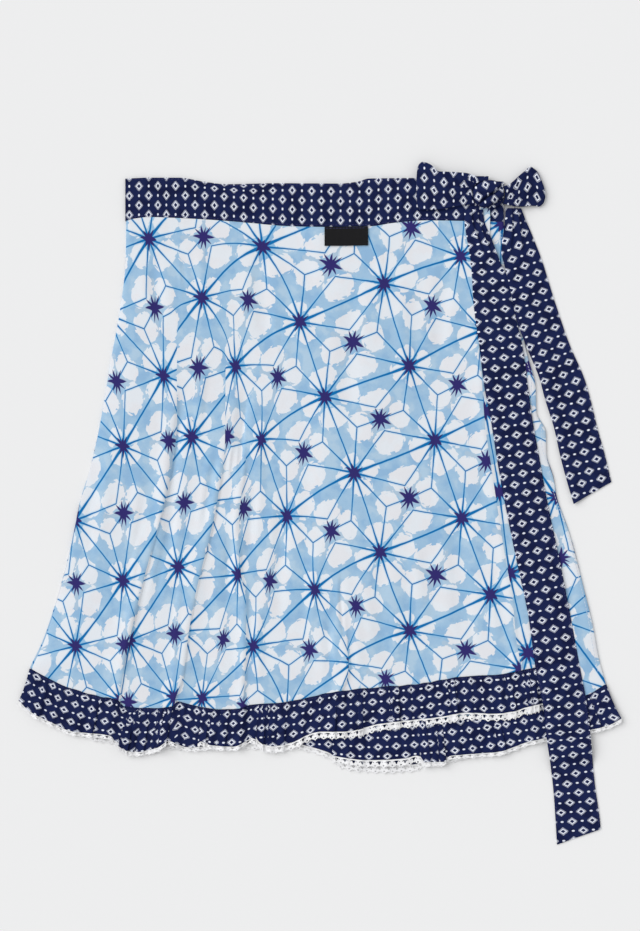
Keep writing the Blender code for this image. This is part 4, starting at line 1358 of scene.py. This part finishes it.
def make_loop(name, rows, nose_rows, side, shift):
    """A loop of the bow: a strip that leaves the knot below, turns and comes back above."""
    low_line = line_through(rows, 1)
    high_line = line_through(rows, 2)
    root = KNOT_CENTRE[0] + side * KNOT_HALF[0]
    u = np.linspace(0, 1, STRIP_COLUMNS)
    v = shares_up(LOOP_ROWS)
    lower = v < 0.5
    along = np.minimum(v, 1 - v) / LOOP_RUN
    far = np.minimum(along, 1.0)
    growth = np.where(lower, 0.0, 1 - smooth(far * LOOP_SWELL))[:, 0]
    share = pleated_columns(u, LOOP_PLEATS, growth)
    start = knot_side(mix(low_line(root), high_line(root), share), side)
    gap = LOOP_PINCH + LOOP_PUFF * smooth(far * LOOP_SWELL) * (1 - 0.4 * (2 * share - 1) ** 2)
    half = (WALL + gap) / 2
    x = mix(start, line_through(nose_rows)(share) - side * half, far)
    y = mix(low_line(x), high_line(x), share)
    turn = np.where(along <= 1, 0.0, (along - 1) / (0.5 / LOOP_RUN - 1))
    bend = math.radians(90) * turn
    x = x + side * half * np.sin(bend)
    height = np.where(lower, half - half * np.cos(bend), half + half * np.cos(bend))
    width = high_line(x) - low_line(x)
    z = laid_height(x, y) + WALL / 2 + height + pleat_height(share, width, LOOP_PLEATS, growth)
    length = np.abs(x - root) * np.where(lower, 1, -1) + shift[1]
    across = y - mix(low_line(x), high_line(x), 0.5) + shift[0]
    fabric = pleated_print(length, across, u, LOOP_PLEATS, growth)
    piece = cloth(name, stacked(x, y, z), {"cloth": fabric}, "navy_cotton")


def knot_place(x, y, wrap):
    """The print's place on a wrap of the knot."""
    return [place + start + wrap * jump for place, start, jump
            in zip(turned(x, y, KNOT_PRINT["turn"]), KNOT_PRINT["start"], KNOT_PRINT["jump"])]


def corner_key(face):
    """One number from a face's first three corners, to sort by."""
    first, second, third = sorted(corner.index for corner in face.verts)[:3]
    return (first * 1e4 + second) * 1e4 + third


def make_knot():
    """The knot: flattened wraps that cross the band's end at a slant."""
    ball = bmesh.new()
    bmesh.ops.create_uvsphere(ball, u_segments=KNOT_SEGMENTS[0], v_segments=KNOT_SEGMENTS[1],
                              radius=1.0)
    ball.verts.index_update()
    ball.faces.sort(key=corner_key)  # Blender gives them in another order on each run.
    seat = float(laid_height(*KNOT_CENTRE))
    layer = ball.loops.layers.uv.new("cloth")
    away = {}
    for point in ball.verts:
        x, y, z = point.co
        corner = (abs(x) ** KNOT_SQUARE + abs(y) ** KNOT_SQUARE) ** (1 / KNOT_SQUARE)
        spread = math.hypot(x, y) / max(corner, 0.001)
        x_off, y_off = KNOT_HALF[0] * spread * x, KNOT_HALF[1] * spread * y
        along, off = turned(x_off, y_off, KNOT_SLANT)
        off = off + KNOT_BEND * math.sin(along / 5)
        share = KNOT_LOW + (1 - KNOT_LOW) * z
        if z > 0:
            furrow = min(abs(off - line) for line in KNOT_FURROWS) / KNOT_FURROW["half"]
            share *= 1 - KNOT_FURROW["share"] * float(smooth(1 - furrow))
            share += KNOT_CRUMPLE * math.sin(along / 2.1 + off / 3) * math.sin(off / 1.9)
        x_at, y_at = KNOT_CENTRE[0] + x_off, KNOT_CENTRE[1] + y_off
        z_at = max(seat + KNOT_HEIGHT * share, float(laid_height(x_at, y_at)))
        away[point] = (x_off, y_off, off)
        point.co = (x_at * MM, y_at * MM, z_at * MM)
    for face in ball.faces:
        middle = sum(away[corner][2] for corner in face.verts) / len(face.verts)
        wrap = sum(middle > line for line in KNOT_FURROWS)
        for loop in face.loops:
            loop[layer].uv = knot_place(*away[loop.vert][:2], wrap)
    mesh = bpy.data.meshes.new("bow_knot")
    ball.to_mesh(mesh)
    ball.free()
    mesh.shade_smooth()
    mesh.materials.append(CLOTHS["navy_cotton"])
    piece = placed("knot_wraps", mesh)
    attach(piece, "root")
    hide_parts("bow_knot")


def make_bow():
    make_tail("tie_long", LONG_TAIL, LONG_TAIL_END, LONG_TAIL_TOP, 0, LONG_TAIL_PLEATS)
    make_tail("tie_short", SHORT_TAIL, SHORT_TAIL_END, SHORT_TAIL_TOP, 1, SHORT_TAIL_PLEATS)
    make_loop("bow_loop_left", LEFT_LOOP, LEFT_NOSE, -1, (2.0, 0.0))
    make_loop("bow_loop_right", RIGHT_LOOP, RIGHT_NOSE, 1, (0.0, 4.0))
    make_knot()


def make_label():
    v = shares_up(LABEL_GRID[0])
    x = mix(LABEL["left"], LABEL["right"], shares_along(LABEL_GRID[1])) + 0 * v
    high = band_bottom(x) - SEAM_GAP
    y = mix(high - LABEL["drop"], high, v)
    z = folded_floor(x, y) + WALL + SEAM_GAP + WALL / 2
    piece = cloth("label", stacked(x, y, z), {"cloth": np.stack([x, y], -1)}, "woven_label")


# ---------------------------------------------------------------- stitches

def stitch_form():
    """One stitch: rings of points round a run from 0 to 1, with their radius, and its faces."""
    runs = ((0.0, 0.1), (0.12, 0.85), (0.5, 1.0), (0.88, 0.85), (1.0, 0.1))
    sides = 6
    turns = np.arange(sides) * math.tau / sides
    points = [(run, radius * math.cos(turn), radius * math.sin(turn))
              for run, radius in runs for turn in turns]
    faces = [(sides * ring + k, sides * ring + (k + 1) % sides, sides * ring + sides + (k + 1) % sides,
              sides * ring + sides + k) for ring in range(len(runs) - 1) for k in range(sides)]
    last = sides * (len(runs) - 1)
    ends = [tuple(reversed(range(sides))), tuple(range(last, last + sides))]
    return np.array(points), faces + ends


def make_stitches(name, surface, runs, material):
    """A row of stitches along each run of places, in mm, on the top of a piece of cloth."""
    form, form_faces = stitch_form()
    points = []
    faces = []
    for x, y in runs:
        length = length_along(np.hypot(np.diff(x), np.diff(y)))
        for start in np.arange(0.5, length[-1] - STITCH["length"], STITCH["length"] + STITCH["gap"]):
            ends = []
            for place in (start, start + STITCH["length"]):
                above = (np.interp(place, length, x) * MM, np.interp(place, length, y) * MM, DROP_FROM)
                hit, where, _, _ = surface.ray_cast(above, (0, 0, -1))
                if hit:
                    ends.append(np.array(where) / MM)
            if len(ends) < 2:
                continue
            run = ends[1] - ends[0]
            side = np.cross(run, (0, 0, 1)) / np.linalg.norm(run)
            up = np.cross(side, run) / np.linalg.norm(run)
            lift = STITCH["lift"] * np.sin(math.pi * form[:, :1])
            first = len(points) * len(form)
            points.append(ends[0] + form[:, :1] * run + STITCH["half"] * form[:, 1:2] * side
                          + (STITCH["high"] * form[:, 2:] + lift) * up)
            faces += [tuple(first + corner for corner in face) for face in form_faces]
    mesh = bpy.data.meshes.new(name)
    mesh.from_pydata((np.vstack(points) * MM).tolist(), [], faces)
    mesh.shade_smooth()
    mesh.materials.append(material)
    piece = placed(name, mesh)
    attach(piece, "root")


def make_seams():
    """Sewing: along the band, the ruffle's seam, the front's free edge, the ties and the label."""
    def along_x(start, end, line):
        x = np.linspace(start, end, SEAM_POINTS)
        return x, line(x)

    def along_y(start, end, line):
        y = np.linspace(start, end, SEAM_POINTS)
        return line(y), y

    def along_tie(start, end, rows):
        return [along_y(start, end, lambda y: line_through(rows, 1)(y) + inset),
                along_y(start, end, lambda y: line_through(rows, 2)(y) - inset)]

    inset = STITCH["inset"]
    make_stitches("band_stitches", PIECES["waistband_outer"],
                  [along_x(BAND_LEFT + 2, 140, lambda x: band_bottom(x) + inset),
                   along_x(BAND_LEFT + 2, 92, lambda x: band_top(x) - inset)], THREAD)
    make_stitches("ruffle_stitches", PIECES["ruffle_outer"],
                  [along_x(-286, 224, lambda x: hem["outer"](x) + puckered(x) - inset - 0.4)],
                  THREAD)
    make_stitches("tie_stitches", PIECES["tie_long"], along_tie(-322, 120, LONG_TAIL), THREAD)
    make_stitches("short_tie_stitches", PIECES["tie_short"], along_tie(24, 200, SHORT_TAIL), THREAD)
    make_stitches("front_stitches", PIECES["inner_front_panel"],
                  [along_y(-168, 276, lambda y: right_side(y) - 3 * inset)], PALE_THREAD)
    make_stitches("label_stitches", PIECES["label"],
                  [along_x(LABEL["left"] + 1, LABEL["right"] - 1,
                           lambda x: band_bottom(x) - SEAM_GAP - inset)], THREAD)


# ---------------------------------------------------------------- camera, floor and light

PHOTO = (640, 931)
VIEW_CENTRE = (0.0, 38.5)
CAMERA_HEIGHT = 2.2
SENSOR = 36.0
# The broad soft light: where it comes from, its strength, and how wide it is in degrees
KEY = {"from": (-1.0, 0.45, 0.95), "energy": 1.75, "width": 50}
SKY = {"Color": (0.985, 0.99, 1.0, 1), "Strength": 0.62}
FLOOR_SIZE = 8.0
FLOOR_DROP = 0.0004


def make_stage():
    camera_data = bpy.data.cameras.new("camera")
    camera_data.sensor_width = SENSOR
    camera_data.lens = SENSOR * CAMERA_HEIGHT / (PHOTO[1] * MM)
    camera = placed("camera", camera_data)
    camera.location = (VIEW_CENTRE[0] * MM, VIEW_CENTRE[1] * MM, CAMERA_HEIGHT)
    bpy.context.scene.camera = camera

    bpy.ops.mesh.primitive_plane_add(size=FLOOR_SIZE, location=(0, 0, -FLOOR_DROP))
    floor = bpy.context.object
    floor.name = "floor"
    pale = bpy.data.materials.new("floor")
    pale.use_nodes = True
    shader = pale.node_tree.nodes["Principled BSDF"]
    shader.inputs["Base Color"].default_value = linear("floor")
    shader.inputs["Roughness"].default_value = 0.95
    shader.inputs["Specular IOR Level"].default_value = 0.0
    floor.data.materials.append(pale)

    world = bpy.data.worlds.new("studio")
    world.use_nodes = True
    for name, value in SKY.items():
        world.node_tree.nodes["Background"].inputs[name].default_value = value
    bpy.context.scene.world = world
    lamp = bpy.data.lights.new("key", "SUN")
    lamp.energy = KEY["energy"]
    lamp.angle = math.radians(KEY["width"])
    light = placed("key", lamp)
    light.rotation_mode = "QUATERNION"
    light.rotation_quaternion = (-Vector(KEY["from"])).to_track_quat("-Z", "Y")
    bpy.context.scene.view_settings.view_transform = "Standard"


def main():
    make_stage()
    make_panels()
    make_ruffles()
    make_bow()
    make_label()
    bpy.context.view_layer.update()
    make_seams()


main()
